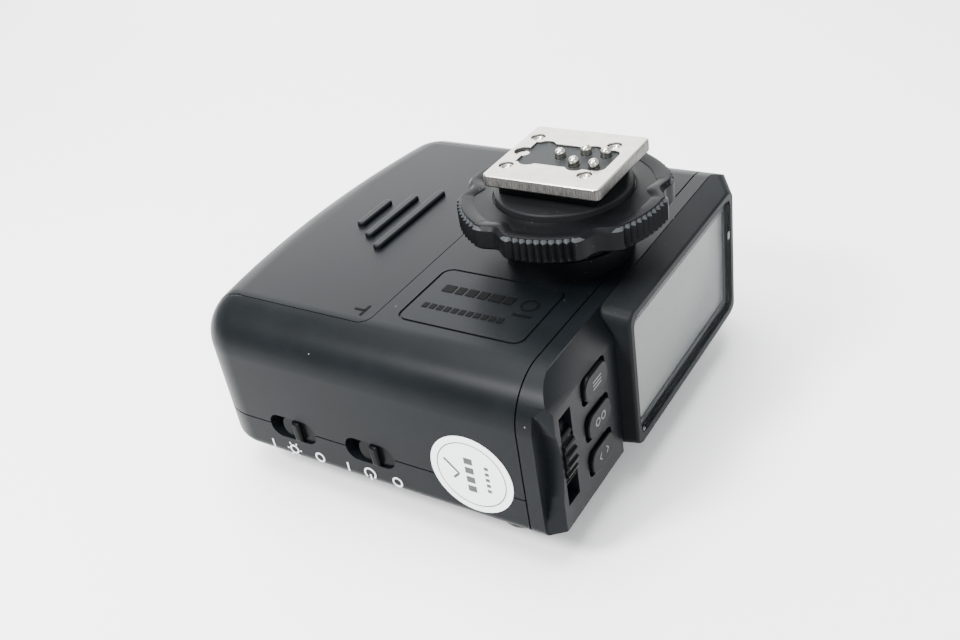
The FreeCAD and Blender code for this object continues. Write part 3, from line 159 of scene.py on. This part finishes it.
def arc(centre, radius, first, last, steps=28):
    """Points of a circular arc between two angles in degrees."""
    angle = np.radians(np.linspace(first, last, steps))
    return np.stack([centre[0] + radius * np.cos(angle), centre[1] + radius * np.sin(angle)], axis=1)


def line(*points):
    """Path through a few points, each run divided so that a strip keeps its width at the ends."""
    points = np.asarray(points, float)
    runs = [np.linspace(one, two, 5)[:-1] for one, two in zip(points, points[1:])]
    return np.vstack(runs + [points[-1:]])


def joined(name, pieces):
    """One object from several meshes that share a material."""
    work = bmesh.new()
    for piece in pieces:
        work.from_mesh(piece.data)
        bpy.data.objects.remove(piece)
    mesh = bpy.data.meshes.new(name)
    work.to_mesh(mesh)
    work.free()
    return placed(name, mesh)


# ---------------------------------------------------------------- shader maths


class Wire:
    """A shader socket that takes part in arithmetic; every operator adds one Math node."""

    def __init__(self, paint, socket):
        self.paint = paint
        self.socket = socket

    def maths(self, operation, *values):
        """Math node of one operation on the values."""
        return self.paint.node("ShaderNodeMath", {"operation": operation}, *values)

    def __add__(self, other):
        return self.maths("ADD", self, other)

    def __sub__(self, other):
        return self.maths("SUBTRACT", self, other)

    def __mul__(self, other):
        return self.maths("MULTIPLY", self, other)

    def __pow__(self, other):
        return self.maths("POWER", self, other)

    def __gt__(self, other):
        return self.maths("GREATER_THAN", self, other)

    def __lt__(self, other):
        return self.maths("LESS_THAN", self, other)

    __radd__ = __add__
    __rmul__ = __mul__

    def fade(self, low, high):
        """0 below low, 1 above high and a smooth step between."""
        settings = {"interpolation_type": "SMOOTHSTEP"}
        return self.paint.node("ShaderNodeMapRange", settings, self, low, high, 0.0, 1.0)


class Paint:
    """A node-built material on Object coordinates in millimetres."""

    def __init__(self, name):
        self.material = bpy.data.materials.new(name)
        self.material.use_nodes = True
        self.tree = self.material.node_tree
        self.tree.nodes.clear()
        self.shader = self.tree.nodes.new("ShaderNodeBsdfPrincipled")
        output = self.tree.nodes.new("ShaderNodeOutputMaterial")
        self.tree.links.new(self.shader.outputs["BSDF"], output.inputs["Surface"])
        coordinates = self.tree.nodes.new("ShaderNodeTexCoord")
        self.place = self.node("ShaderNodeVectorMath", {"operation": "SCALE"},
                               Wire(self, coordinates.outputs["Object"]), Scale=1 / MM)

    def node(self, kind, settings, *values, out=0, **named):
        """New node: its settings first, then the values or links of its sockets."""
        made = self.tree.nodes.new(kind)
        for key, value in settings.items():
            setattr(made, key, value)
        sockets = [(made.inputs[index], value) for index, value in enumerate(values)]
        sockets += [(made.inputs[key.replace("_", " ")], value) for key, value in named.items()]
        for socket, value in sockets:
            if isinstance(value, Wire):
                self.tree.links.new(value.socket, socket)
            else:
                socket.default_value = value
        return Wire(self, made.outputs[out])

    def axes(self, vector=None):
        """The three parts of a vector, in millimetres for the place."""
        split = self.node("ShaderNodeSeparateXYZ", {}, vector or self.place)
        parts = split.socket.node.outputs
        return tuple(Wire(self, parts[index]) for index in range(3))

    def stretched(self, x, y, z):
        """Place with each axis multiplied, for grain that runs one way."""
        return self.node("ShaderNodeVectorMath", {"operation": "MULTIPLY"}, self.place, (x, y, z))

    def noise(self, per_mm, detail=2.0, rough=0.5, vector=None):
        """Noise between 0 and 1 with so many features per millimetre."""
        return self.node("ShaderNodeTexNoise", {}, Vector=vector or self.place, Scale=per_mm, Detail=detail,
                         Roughness=rough)

    def cells(self, per_mm, out=0):
        """Distance to the nearest of the scattered cell points, or the cell's own colour."""
        return self.node("ShaderNodeTexVoronoi", {}, Vector=self.place, Scale=per_mm, out=out)

    def mix(self, factor, one, two):
        """Colour mix, from one to two."""
        made = self.tree.nodes.new("ShaderNodeMix")
        made.data_type = "RGBA"
        for socket, value in ((made.inputs[0], factor), (made.inputs[6], one), (made.inputs[7], two)):
            if isinstance(value, Wire):
                self.tree.links.new(value.socket, socket)
            elif socket is made.inputs[0]:
                socket.default_value = value
            else:
                socket.default_value = (*value, 1.0)
        return Wire(self, made.outputs[2])

    def bump(self, height):
        """Bump of a height in millimetres into the shader's Normal."""
        raised = self.node("ShaderNodeBump", {}, Height=height, Distance=MM, Strength=1.0)
        self.tree.links.new(raised.socket, self.shader.inputs["Normal"])

    def finish(self, **values):
        """Set or link the shader's own sockets and give back the material."""
        for key, value in values.items():
            socket = self.shader.inputs[key.replace("_", " ")]
            if isinstance(value, Wire):
                self.tree.links.new(value.socket, socket)
            else:
                socket.default_value = value
        return self.material


def dust(paint, per_mm=0.16, largest=0.018, share=0.28):
    """Mask of pale specks: tiny discs at a share of the scattered cell points."""
    chosen = paint.axes(paint.cells(per_mm, out=1))[0] < share
    return (paint.cells(per_mm) < largest) * chosen


def from_foot(paint):
    """Distance from the foot's axis."""
    x, y, _ = paint.axes()
    return ((x - foot_axis[0]) ** 2.0 + (y - foot_axis[1]) ** 2.0) ** 0.5


def foot_dust(paint):
    """Finer dust that has settled round the foot, thinning out with distance from its axis."""
    patchy = paint.noise(0.35, 3.0, 0.6).fade(0.45, 0.62)
    return dust(paint, 1.1, 0.075, 0.45) * from_foot(paint).fade(24.0, 13.0) * patchy


def moulded(name, colour, rough, grain, shine, painted_highlight_band=None):
    """Moulded plastic: spark-eroded grain, faint handling marks, slow tone change and a few dust specks.

    The band given as (low, high, reach) in millimetres is painted highlight: between those heights, further
    out from the foot's axis than the reach, the plastic is painted paler where the chamfers at the tops of the
    teeth catch the light."""
    paint = Paint(name)
    fine = paint.noise(5.5, 3.0, 0.6)
    handling = paint.noise(0.09, 4.0, 0.62)
    settled = dust(paint)
    specks = settled.maths("MAXIMUM", settled, foot_dust(paint) * 0.8)
    tone = paint.mix(handling.fade(0.35, 0.7), colour, tuple(1.35 * part for part in colour))
    if painted_highlight_band:
        low, high, reach = painted_highlight_band
        level = paint.axes()[2]
        # Painted highlight on the teeth's chamfers, not wear.
        painted_highlight = (level > low) * (level < high) * (from_foot(paint) > reach)
        tone = paint.mix(painted_highlight * 0.8, tone, (0.042, 0.046, 0.048))
    paint.bump(fine * grain)
    return paint.finish(
        Base_Color=paint.mix(specks * 0.5, tone, (0.30, 0.30, 0.29)), Specular_IOR_Level=shine,
        Roughness=rough + 0.10 * (handling - 0.5) + 0.08 * (fine - 0.5) + 0.3 * specks,
    )


def nickel(name, along, rough=0.3, top=-1e3):
    """Satin nickel: fine drawn lines along one axis and faint wear.

    Below the height top it is painted dark as shade, with upright grinding marks in it; the marks are real,
    the darkness is painted shade."""
    paint = Paint(name)
    stretch = [9.0, 9.0, 9.0]
    stretch[along] = 0.35
    lines = paint.noise(1.0, 4.0, 0.7, paint.stretched(*stretch))
    wear = paint.noise(0.35, 5.0, 0.65)
    ground = paint.noise(1.0, 4.0, 0.75, paint.stretched(7.0, 7.0, 0.6))
    # Below the height top the colour is painted shade: on the foot plate that is its sides and the walls of
    # its countersinks.
    shaded_edge = paint.axes()[2] < top
    paint.bump(lines * 0.004 + wear * 0.003 + shaded_edge * ground * 0.03)
    satin = paint.mix(wear.fade(0.35, 0.75), (0.50, 0.485, 0.445), (0.42, 0.405, 0.37))
    painted_edge_shade = paint.mix(ground.fade(0.35, 0.7), (0.035, 0.034, 0.032), (0.12, 0.117, 0.110))
    return paint.finish(Base_Color=paint.mix(shaded_edge, satin, painted_edge_shade), Metallic=1.0,
                        Roughness=rough + 0.12 * (lines - 0.5) + 0.10 * (wear - 0.5))


def simple_finish(name, colour, second, rough, per_mm, metallic=0.0, bump=0.004, shine=0.3):
    """Two-tone procedural finish with its own roughness spread, for small and inner pieces."""
    paint = Paint(name)
    spread = paint.noise(per_mm, 4.0, 0.6)
    paint.bump(spread * bump)
    return paint.finish(Base_Color=paint.mix(spread.fade(0.3, 0.7), colour, second), Metallic=metallic,
                        Specular_IOR_Level=shine, Roughness=rough + 0.15 * (spread - 0.5))


def clear_window(name):
    """Clear hard-coated pane: nearly transparent, with faint wiping marks in its gloss."""
    paint = Paint(name)
    wiping = paint.noise(0.12, 4.0, 0.6, paint.stretched(0.4, 1.0, 1.0))
    return paint.finish(Base_Color=(0.02, 0.022, 0.022, 1), Alpha=0.04, Roughness=0.26 + 0.08 * wiping)


def display_glass(name):
    """Reflective grey-green display cell: soft uneven tone, painted darker towards one lower corner and in a
    strip along one side as the mask's shadow; its paler rest also stands partly for painted glare of the pane.
    """
    paint = Paint(name)
    x, _, z = paint.axes()
    drift = paint.noise(0.05, 2.0, 0.5)
    # Painted shadow of the mask: darker towards the lower corner, and in a strip along the right side.
    mask_shadow_slope = (x * 0.45 - z + 6.0 * (drift - 0.5)).fade(-21.0, -5.0)
    strip = (x + drift * 0.6).fade(glass_high[0] - 6.6, glass_high[0] - 5.6)
    tone = paint.mix(mask_shadow_slope, (0.097, 0.112, 0.102), (0.042, 0.051, 0.052))
    tone = paint.mix(strip * 0.5, tone, (0.055, 0.066, 0.067))
    return paint.finish(Base_Color=tone, Roughness=0.35 + 0.1 * (drift - 0.5), Specular_IOR_Level=0.3)


def wrapped_cell(name):
    """Battery cell: shrink-wrapped jacket with two printed bands, bare steel outside the jacket's ends."""
    paint = Paint(name)
    x, _, _ = paint.axes()
    scuffs = paint.noise(0.4, 4.0, 0.6)
    wide_band = (x > cell_high[0] - 16.0) * (x < cell_high[0] - 12.0)
    band = wide_band + (x > cell_low[0] + 5.0) * (x < cell_low[0] + 5.8)
    bare = (x > cell_high[0] - 1.6) + (x < cell_low[0] + 0.7)
    jacket = paint.mix(scuffs.fade(0.3, 0.7), (0.010, 0.014, 0.022), (0.014, 0.020, 0.030))
    printed = paint.mix(band, jacket, (0.32, 0.17, 0.03))
    return paint.finish(Base_Color=paint.mix(bare, printed, (0.45, 0.44, 0.42)), Metallic=bare,
                        Roughness=0.3 + 0.15 * (scuffs - 0.5), Specular_IOR_Level=0.2)


case_black = moulded("case_black", (0.0028, 0.0037, 0.0044), 0.37, 0.008, 0.072)
frame_black = moulded("frame_black", (0.0062, 0.0072, 0.0077), 0.40, 0.002, 0.03)
# The last argument is the band of painted highlight on the chamfers at the tops of the teeth.
ring_black = moulded("ring_black", (0.0026, 0.0029, 0.0032), 0.36, 0.010, 0.055,
                     (ring_high[2] - 0.66, ring_high[2] - 0.16, (ring_high[0] - ring_low[0]) / 2 - 0.66))
# The washer's black is paler than the other blacks: partly the dust on it, partly painted light that lifts it
# out of the shade under the foot plate.
washer_black = moulded("washer_black", (0.009, 0.0098, 0.0102), 0.42, 0.010, 0.06)
key_black = moulded("key_black", (0.0018, 0.0021, 0.0023), 0.30, 0.004, 0.05)
mark_black = moulded("mark_black", (0.0016, 0.0018, 0.0019), 0.55, 0.004, 0.03)
insulator_grey = simple_finish("insulator_grey", (0.010, 0.0115, 0.012), (0.016, 0.018, 0.019), 0.5, 2.0,
                               shine=0.1)
# Its sides and countersink walls, below a little under the top face, are painted dark as shade.
plate_nickel = nickel("plate_nickel", 0, 0.34, plate_high[2] - 0.16)
pin_nickel = nickel("pin_nickel", 2, 0.16)
screw_nickel = nickel("screw_nickel", 0, 0.28)
screw_steel = simple_finish("screw_steel", (0.42, 0.41, 0.39), (0.58, 0.57, 0.54), 0.35, 3.0, 1.0)
mask_grey = simple_finish("mask_grey", (0.034, 0.0385, 0.040), (0.040, 0.045, 0.047), 0.45, 1.0,
                          bump=0.001, shine=0.1)
ink_white = simple_finish("ink_white", (0.48, 0.50, 0.50), (0.60, 0.62, 0.62), 0.55, 4.0)
ink_grey = simple_finish("ink_grey", (0.075, 0.082, 0.085), (0.105, 0.115, 0.12), 0.55, 4.0)
ink_dark = simple_finish("ink_dark", (0.03, 0.03, 0.03), (0.05, 0.05, 0.05), 0.5, 4.0)
paper_white = simple_finish("paper_white", (0.74, 0.76, 0.76), (0.80, 0.82, 0.82), 0.62, 3.0)
window_clear = clear_window("window_clear")
lcd_green = display_glass("lcd_green")
board_green = simple_finish("board_green", (0.01, 0.09, 0.035), (0.015, 0.14, 0.05), 0.35, 1.5)
lens_red = simple_finish("lens_red", (0.060, 0.0016, 0.0016), (0.085, 0.0024, 0.0022), 0.2, 0.6,
                         bump=0.001, shine=0.07)
cell_wrap = wrapped_cell("cell_wrap")
silicone_grey = simple_finish("silicone_grey", (0.09, 0.09, 0.095), (0.12, 0.12, 0.125), 0.7, 2.0)
amber_film = simple_finish("amber_film", (0.32, 0.14, 0.02), (0.4, 0.18, 0.03), 0.3, 1.0)
milky_guide = simple_finish("milky_guide", (0.7, 0.72, 0.7), (0.78, 0.8, 0.78), 0.3, 1.0)
gold_plate = simple_finish("gold_plate", (0.8, 0.6, 0.28), (0.7, 0.5, 0.2), 0.25, 3.0, 1.0)

FINISHES = {
    case_black: ("base_shell", "top_cover", "rear_bezel", "battery_door"),
    frame_black: ("display_frame",),
    ring_black: ("lock_ring", "foot_stem"),
    washer_black: ("clamp_washer",),
    key_black: ("mode_button", "group_button", "channel_button", "power_knob", "lamp_knob", "test_button",
                "select_dial"),
    insulator_grey: ("foot_insulator", "shoe_insulator", "battery_tray", "dial_encoder", "power_switch",
                     "lamp_switch", "sync_jack", "foot_harness"),
    plate_nickel: ("foot_plate", "shoe_rails", "rf_shield", "usb_socket", "battery_contacts"),
    pin_nickel: ("contact_pin_1", "contact_pin_2", "contact_pin_3", "contact_pin_4", "contact_pin_5",
                 "lock_pin"),
    screw_steel: ("foot_screws", "shoe_screws", "case_screws", "key_switches", "test_switch"),
    mask_grey: ("display_mask",),
    paper_white: ("inspection_label",),
    window_clear: ("display_window",),
    lcd_green: ("lcd_panel",),
    board_green: ("main_board", "display_board", "foot_contact_board", "radio_module", "antenna"),
    lens_red: ("assist_lens",),
    cell_wrap: ("battery_cell_1", "battery_cell_2"),
    silicone_grey: ("keypad",),
    amber_film: ("ribbon_cable",),
    milky_guide: ("lcd_frame", "assist_led"),
    gold_plate: ("shoe_contacts",),
}
for finish, members in FINISHES.items():
    for member in members:
        nodes[member].data.materials.clear()
        nodes[member].data.materials.append(finish)

# Width in mm of the rounding that each moulded or pressed piece has on its edges.
EDGE_ROUNDING = {
    "base_shell": 0.22, "top_cover": 0.22, "rear_bezel": 0.3, "battery_door": 0.22, "display_frame": 0.25,
    "foot_plate": 0.12, "clamp_washer": 0.12, "mode_button": 0.4, "group_button": 0.4, "channel_button": 0.4,
    "power_knob": 0.12, "lamp_knob": 0.12, "select_dial": 0.1, "test_button": 0.1, "foot_insulator": 0.12,
    "display_window": 0.06, "foot_stem": 0.1, "foot_screws": 0.06, "shoe_rails": 0.1, "sync_jack": 0.1,
}


def round_edges(piece, width):
    """Weld the loose triangles, merge flat ones, then bevel what is left sharp and shade it smooth."""
    weld = piece.modifiers.new("weld", "WELD")
    weld.merge_threshold = WELD
    flat = piece.modifiers.new("flat", "DECIMATE")
    flat.decimate_type = "DISSOLVE"
    flat.angle_limit = math.radians(0.4)
    bevel = piece.modifiers.new("bevel", "BEVEL")
    bevel.width = width * MM
    bevel.segments = 2
    bevel.limit_method = "ANGLE"
    bevel.angle_limit = math.radians(40)
    even = piece.modifiers.new("even", "WEIGHTED_NORMAL")
    even.weight = 60
    even.keep_sharp = True
    piece.data.polygons.foreach_set("use_smooth", np.ones(len(piece.data.polygons), bool))


for member, width in EDGE_ROUNDING.items():
    round_edges(nodes[member], width)

# A hair's breadth of air round the pane keeps its back off the border behind it.
air = nodes["display_window"].modifiers.new("air", "DISPLACE")
air.strength = -0.02 * MM
air.mid_level = 0.0


def put(piece, finish, body):
    """Give a new piece its material and body."""
    piece.data.materials.append(finish)
    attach(piece, body)


# ---------------------------------------------------------------- lock ring, contact pins and screws


LOBES, LOBE_SPAN, LOBE_TEETH = 6, math.radians(35.0), 9
LOBE_START = math.radians(15.0) - LOBE_SPAN / 2
TOOTH_STEPS, SCALLOP_STEPS = 6, 30
TOOTH_DEPTH, SCALLOP_DEPTH, RING_BORE = 0.68, 1.45, 10.57


def ring_angles():
    """Angles with the same steps to each tooth and an even spacing over each scallop."""
    pitch = 2 * np.pi / LOBES
    lobe_steps = LOBE_TEETH * TOOTH_STEPS
    lobe = np.arange(lobe_steps) / lobe_steps * LOBE_SPAN
    gap = LOBE_SPAN + np.arange(SCALLOP_STEPS) / SCALLOP_STEPS * (pitch - LOBE_SPAN)
    return (LOBE_START + pitch * np.arange(LOBES)[:, None] + np.concatenate([lobe, gap])[None]).ravel()


def ring_outline(angle, tip, deep, dip, toothed):
    """Radius against angle: V teeth of a depth on each lobe, then a sine-squared scallop of a dip.

    The smooth outline runs along the bottoms of the teeth."""
    along = np.mod(angle - LOBE_START, 2 * np.pi / LOBES)
    on_lobe = along < LOBE_SPAN - 1e-9
    tooth = np.abs(np.mod(along / LOBE_SPAN * LOBE_TEETH + 1e-9, 1.0) - 0.5) * 2
    gap = np.clip((along - LOBE_SPAN) / (2 * np.pi / LOBES - LOBE_SPAN), 0, 1)
    wave = np.sin(np.pi * gap) ** 2
    scallop = tip - dip * wave
    if toothed:
        return np.where(on_lobe, tip - deep * (1 - tooth), scallop)
    return np.where(on_lobe, tip - deep, scallop - deep * 0.8)


def make_lock_ring():
    """Ring surface: a section carried round the foot axis while its rim follows the outline."""
    angle = ring_angles()
    tip = (ring_high[0] - ring_low[0]) / 2 - 0.02
    smooth, toothed = (ring_outline(angle, tip, TOOTH_DEPTH, SCALLOP_DEPTH, with_teeth)
                       for with_teeth in (False, True))
    low, high = ring_low[2], ring_high[2]
    bore, well = RING_BORE, (washer_high[0] - washer_low[0]) / 2 + 0.2
    floor = washer_low[2] - 0.05
    flat = 0 * angle
    section = [
        (bore + flat, low + 0.15), (bore + 0.15 + flat, low), (smooth - 0.2, low), (smooth, low + 0.06),
        (toothed, low + 0.55), (toothed, high - 0.72), (smooth, high - 0.10), (smooth - 0.12, high - 0.02),
        (smooth - 0.30, high), (smooth - 0.8, high - 0.02), (smooth - 1.5, high - 0.12),
        (smooth - 2.1, high - 0.27), (0.5 * smooth + 6.2, high - 0.36),
        (0.2 * smooth + 9.4 + flat, high - 0.36),
        (well + 0.45 + flat, high - 0.30), (well + 0.12 + flat, high - 0.20), (well + flat, high - 0.26),
        (well + flat, floor), (bore + flat, floor),
    ]
    radius = np.stack([part for part, _ in section], axis=1)
    level = np.array([part for _, part in section])[None] + 0 * radius
    points = np.stack([foot_axis[0] + radius * np.cos(angle)[:, None],
                       foot_axis[1] + radius * np.sin(angle)[:, None], level], axis=-1).reshape(-1, 3)
    ring = closed_mesh("knurled_ring", points, grid_faces(len(angle), len(section), True, True))
    ring.data.materials.append(ring_black)
    smooth_shading(ring, 22)
    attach(ring, "ring")
    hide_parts("lock_ring")


def make_contact_pins():
    """Five sprung pins: a shoulder below, a straight shank and a domed tip, turned round each pin's axis."""
    for index in range(1, 6):
        node = "contact_pin_%d" % index
        low, high = corners(node)
        centre = (low[:2] + high[:2]) / 2
        tip, shank, shoulder = high[2], 0.85, (high[0] - low[0]) / 2
        turn = np.linspace(0, np.pi / 2, 9)
        dome = np.stack([shank * np.cos(turn), tip - 0.75 + 0.75 * np.sin(turn)], axis=1)
        dome[-1, 0] = 0.0
        foot = [(0.0, low[2]), (shoulder - 0.1, low[2]), (shoulder, low[2] + 0.1),
                (shoulder, low[2] + 1.1), (shoulder - 0.1, low[2] + 1.2), (shank, low[2] + 1.2)]
        profile = np.vstack([foot, dome])
        pin = turned("sprung_pin_%d" % index, profile, centre)
        pin.data.materials.append(pin_nickel)
        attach(pin, "pin_%d" % index)
        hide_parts(node)


def make_foot_screws():
    """Four countersunk screws with plain dished heads, turned round their axes in the corners of the plate."""
    low, high = corners("foot_screws")
    head, shank, top = 1.2, 0.7, high[2]
    profile = [(0.0, low[2]), (shank, low[2]), (shank, top - 0.75), (head, top - 0.06), (head - 0.05, top),
               (0.82, top), (0.76, top - 0.05), (0.60, top - 0.34), (0.40, top - 0.46), (0.0, top - 0.5)]
    screws = [turned("screw", profile, (x, y), 32) for x in (low[0] + head, high[0] - head)
              for y in (low[1] + head, high[1] - head)]
    screws = smooth_shading(joined("dished_screws", screws), 30)
    put(screws, screw_nickel, "case")
    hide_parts("foot_screws")


# ---------------------------------------------------------------- printed marks


def on_side(points):
    """(along -Y, up +Z, out) onto the side wall with the switches; the marks read upside down."""
    return np.stack([SIDE - points[:, 2], points[:, 0], points[:, 1]], axis=1)


def facing_rear(face):
    """Placing of (along X, up Z, out) onto a surface that looks towards -Y at a level."""
    return lambda points: np.stack([points[:, 0], face - points[:, 2], points[:, 1]], axis=1)


def make_switch_marks():
    """White marks below the two switches: stroke for on, ring for off, lamp and power signs between."""
    level, width = cover_low[2] + 8.9, 0.32
    for name, on_y, sign_y, off_y in (("lamp", 21.2, 16.5, 10.9), ("power", 4.9, 0.4, -5.1)):
        strokes = [ribbon("stroke", line((on_y, level - 0.9), (on_y, level + 0.9)), width, on_side),
                   ribbon("ring", arc((off_y, level), 0.85, 0, 347, 30), width, on_side, True)]
        if name == "lamp":
            strokes.append(ribbon("bulb", arc((sign_y, level), 0.8, 0, 347, 30), width, on_side, True))
            for turn in range(0, 360, 60):
                ray = np.radians(turn)
                ends = [(sign_y + reach * math.cos(ray), level + reach * math.sin(ray))
                        for reach in (1.15, 1.55)]
                strokes.append(ribbon("ray", line(*ends), width * 0.8, on_side))
        else:
            strokes.append(ribbon("gap_ring", arc((sign_y, level), 1.05, -50, 230), width, on_side))
            strokes.append(ribbon("bar", line((sign_y, level - 0.2), (sign_y, level - 1.4)), width, on_side))
        put(joined(name + "_switch_marks", strokes), ink_white, "case")


def make_key_marks():
    """Light generic signs on the keys: three lines, two rings and a pair of arrow heads."""
    middle, width = -22.95, 0.24
    for name, level in (("mode", 27.0), ("group", 20.2), ("channel", 13.5)):
        on_key = facing_rear(corners(name + "_button")[0][1])
        if name == "mode":
            strokes = [ribbon("line", line((middle - 1.3, up), (middle + 1.3, up)), width, on_key)
                       for up in (level - 0.6, level, level + 0.6)]
        elif name == "group":
            strokes = [ribbon("ring", arc((middle + side, level), 0.6, 0, 347, 30), width, on_key, True)
                       for side in (-0.9, 0.9)]
        else:
            heads = [line((middle + side, level + 0.65), (middle + 1.8 * side, level),
                          (middle + side, level - 0.65)) for side in (-0.8, 0.8)]
            strokes = [ribbon("arrow", head, width, on_key) for head in heads]
        put(joined(name + "_key_marks", strokes), ink_grey, name + "_key")


def on_face(points):
    """(along -Y, towards +X, out) onto the face round the foot; rows read from the front to the rear."""
    return np.stack([points[:, 1], -points[:, 0], FACE + points[:, 2]], axis=1)


def make_label_marks():
    """Raised generic bars in the label field: a row of words, a row of small strokes and a ring over a bar."""
    strokes = [ribbon("word", line((start, -17.4), (start + long, -17.4)), 1.9, on_face, False, 0.07)
               for start, long in ((6.2, 2.0), (8.7, 1.4), (10.6, 1.7), (12.8, 1.5), (14.8, 2.2), (17.5, 1.5))]
    strokes += [ribbon("stroke", line((start, -22.6), (start + 0.95, -22.6)), 1.25, on_face, False, 0.06)
                for start in np.arange(5.6, 19.5, 1.35)]
    strokes += [ribbon("ring", arc((21.9, -17.6), 1.35, 0, 350, 36), 0.4, on_face, True, 0.07),
                ribbon("base", line((23.6, -20.4), (20.4, -20.4)), 0.5, on_face, False, 0.07)]
    put(joined("label_marks", strokes), mark_black, "case")


def make_door_sign():
    """Raised angle sign at the corner of the battery door."""
    strokes = [ribbon("bar", line((-2.4, -28.6), (-2.4, -25.8)), 0.45, on_face, False, 0.06),
               ribbon("leg", line((-2.4, -27.2), (-4.4, -27.2)), 0.45, on_face, False, 0.06)]
    put(joined("door_sign", strokes), mark_black, "door")


def make_display_signs():
    """Pale block and corner stroke printed on the display's pane."""
    on_pane = facing_rear(window_low[1])
    strokes = [ribbon("block", line((24.9, 25.2), (25.8, 25.2)), 1.4, on_pane, False, 0.02),
               ribbon("corner", line((-12.9, 11.3), (-12.9, 10.7), (-12.2, 10.7)), 0.22, on_pane, False, 0.02)]
    put(joined("display_signs", strokes), ink_grey, "case")


def make_sticker_print():
    """Thin dark ring, a tick, a row of short bars and a row of dots printed on the round label."""
    centre = (label_low[1:] + label_high[1:]) / 2
    face = label_low[0]

    def on_label(points):
        """(reading direction, up from the row, out) onto the label, whose rows run upwards."""
        return np.stack([face - points[:, 2], centre[0] + points[:, 1], centre[1] + points[:, 0]], axis=1)

    strokes = [ribbon("rim", arc((0, 0), 6.0, 0, 355, 72), 0.16, on_label, True, 0.02),
               ribbon("tick", line((-1.5, 3.3), (-0.4, 2.2), (2.0, 4.6)), 0.42, on_label, False, 0.02)]
    for start in (-3.4, -1.6, 0.2, 2.0):
        strokes.append(ribbon("bar", line((start, 0.2), (start + 1.2, 0.2)), 1.5, on_label, False, 0.02))
    for start in (-2.6, -1.5, -0.4, 0.7, 1.8):
        strokes.append(ribbon("dot", line((start, -2.9), (start + 0.6, -2.9)), 0.7, on_label, False, 0.02))
    put(joined("label_print", strokes), ink_dark, "case")


make_lock_ring()
make_contact_pins()
make_foot_screws()
make_switch_marks()
make_key_marks()
make_label_marks()
make_door_sign()
make_display_signs()
make_sticker_print()


# ---------------------------------------------------------------- floor, light and camera


def make_stage():
    """Large pale floor just below the object."""
    paint = Paint("pale_floor")
    soft = paint.noise(0.01, 3.0, 0.5)
    shade = paint.mix(soft, (0.90, 0.90, 0.90), (0.92, 0.92, 0.92))
    floor_paint = paint.finish(Base_Color=shade, Roughness=0.9)
    half, level = 3000.0, cad_low[2] / MM - 0.05
    points = [(-half, -half, level), (half, -half, level), (half, half, level), (-half, half, level)]
    floor = closed_mesh("floor", points, [(0, 1, 2, 3)])
    floor.data.materials.append(floor_paint)


def soft_light(name, place, aim, size, power):
    """Square area light that faces a point; places in millimetres."""
    data = bpy.data.lights.new(name, "AREA")
    data.size = size * MM
    data.energy = power
    lamp = placed(name, data)
    place = np.array(place, float)
    lamp.location = place * MM
    ahead = (np.array(aim, float) - place) / np.linalg.norm(np.array(aim, float) - place)
    lamp.rotation_euler = (math.atan2(math.hypot(ahead[0], ahead[1]), -ahead[2]), 0.0,
                           math.atan2(-ahead[0], ahead[1]))


def make_light():
    """White surroundings, one large soft light behind the object and weaker ones overhead and beside it."""
    world = bpy.data.worlds.new("white_room")
    bpy.context.scene.world = world
    world.use_nodes = True
    world.node_tree.nodes["Background"].inputs["Color"].default_value = (0.955, 0.98, 1.0, 1.0)
    world.node_tree.nodes["Background"].inputs["Strength"].default_value = 1.3
    soft_light("behind", (330, 260, 200), (0, 0, 20), 420, 2.6)
    soft_light("overhead", (0, 60, 620), (0, 0, 20), 500, 10.5)
    soft_light("edge_glow", (-268, 112, 322), (-37, -20, 40), 100, 3.6)
    soft_light("rear_left", (-260, -420, 260), (0, -20, 20), 260, 1.2)


def make_camera():
    """Camera that looks down at the side with the switches, tilted a little about its own axis."""
    azimuth, elevation, roll = -53.4, 32.9, 9.7
    across, height, lens = (-130.92, -96.36), 120.6, 39.92
    ahead = np.array([math.cos(math.radians(elevation)) * -math.sin(math.radians(azimuth)),
                      math.cos(math.radians(elevation)) * math.cos(math.radians(azimuth)),
                      -math.sin(math.radians(elevation))])
    data = bpy.data.cameras.new("camera")
    data.lens = lens
    data.sensor_width = 36.0
    data.clip_start = 0.005
    camera = placed("camera", data)
    camera.location = (across[0] * MM, across[1] * MM, height * MM)
    right = np.cross(ahead, (0, 0, 1))
    right /= np.linalg.norm(right)
    up = np.cross(right, ahead)
    turn = math.radians(roll)
    tilted_up = up * math.cos(turn) + right * math.sin(turn)
    tilted_right = np.cross(ahead, tilted_up)
    axes = np.stack([tilted_right, tilted_up, -ahead], axis=1)
    camera.rotation_euler = Matrix(axes.tolist()).to_euler()
    bpy.context.scene.camera = camera


make_stage()
make_light()
make_camera()
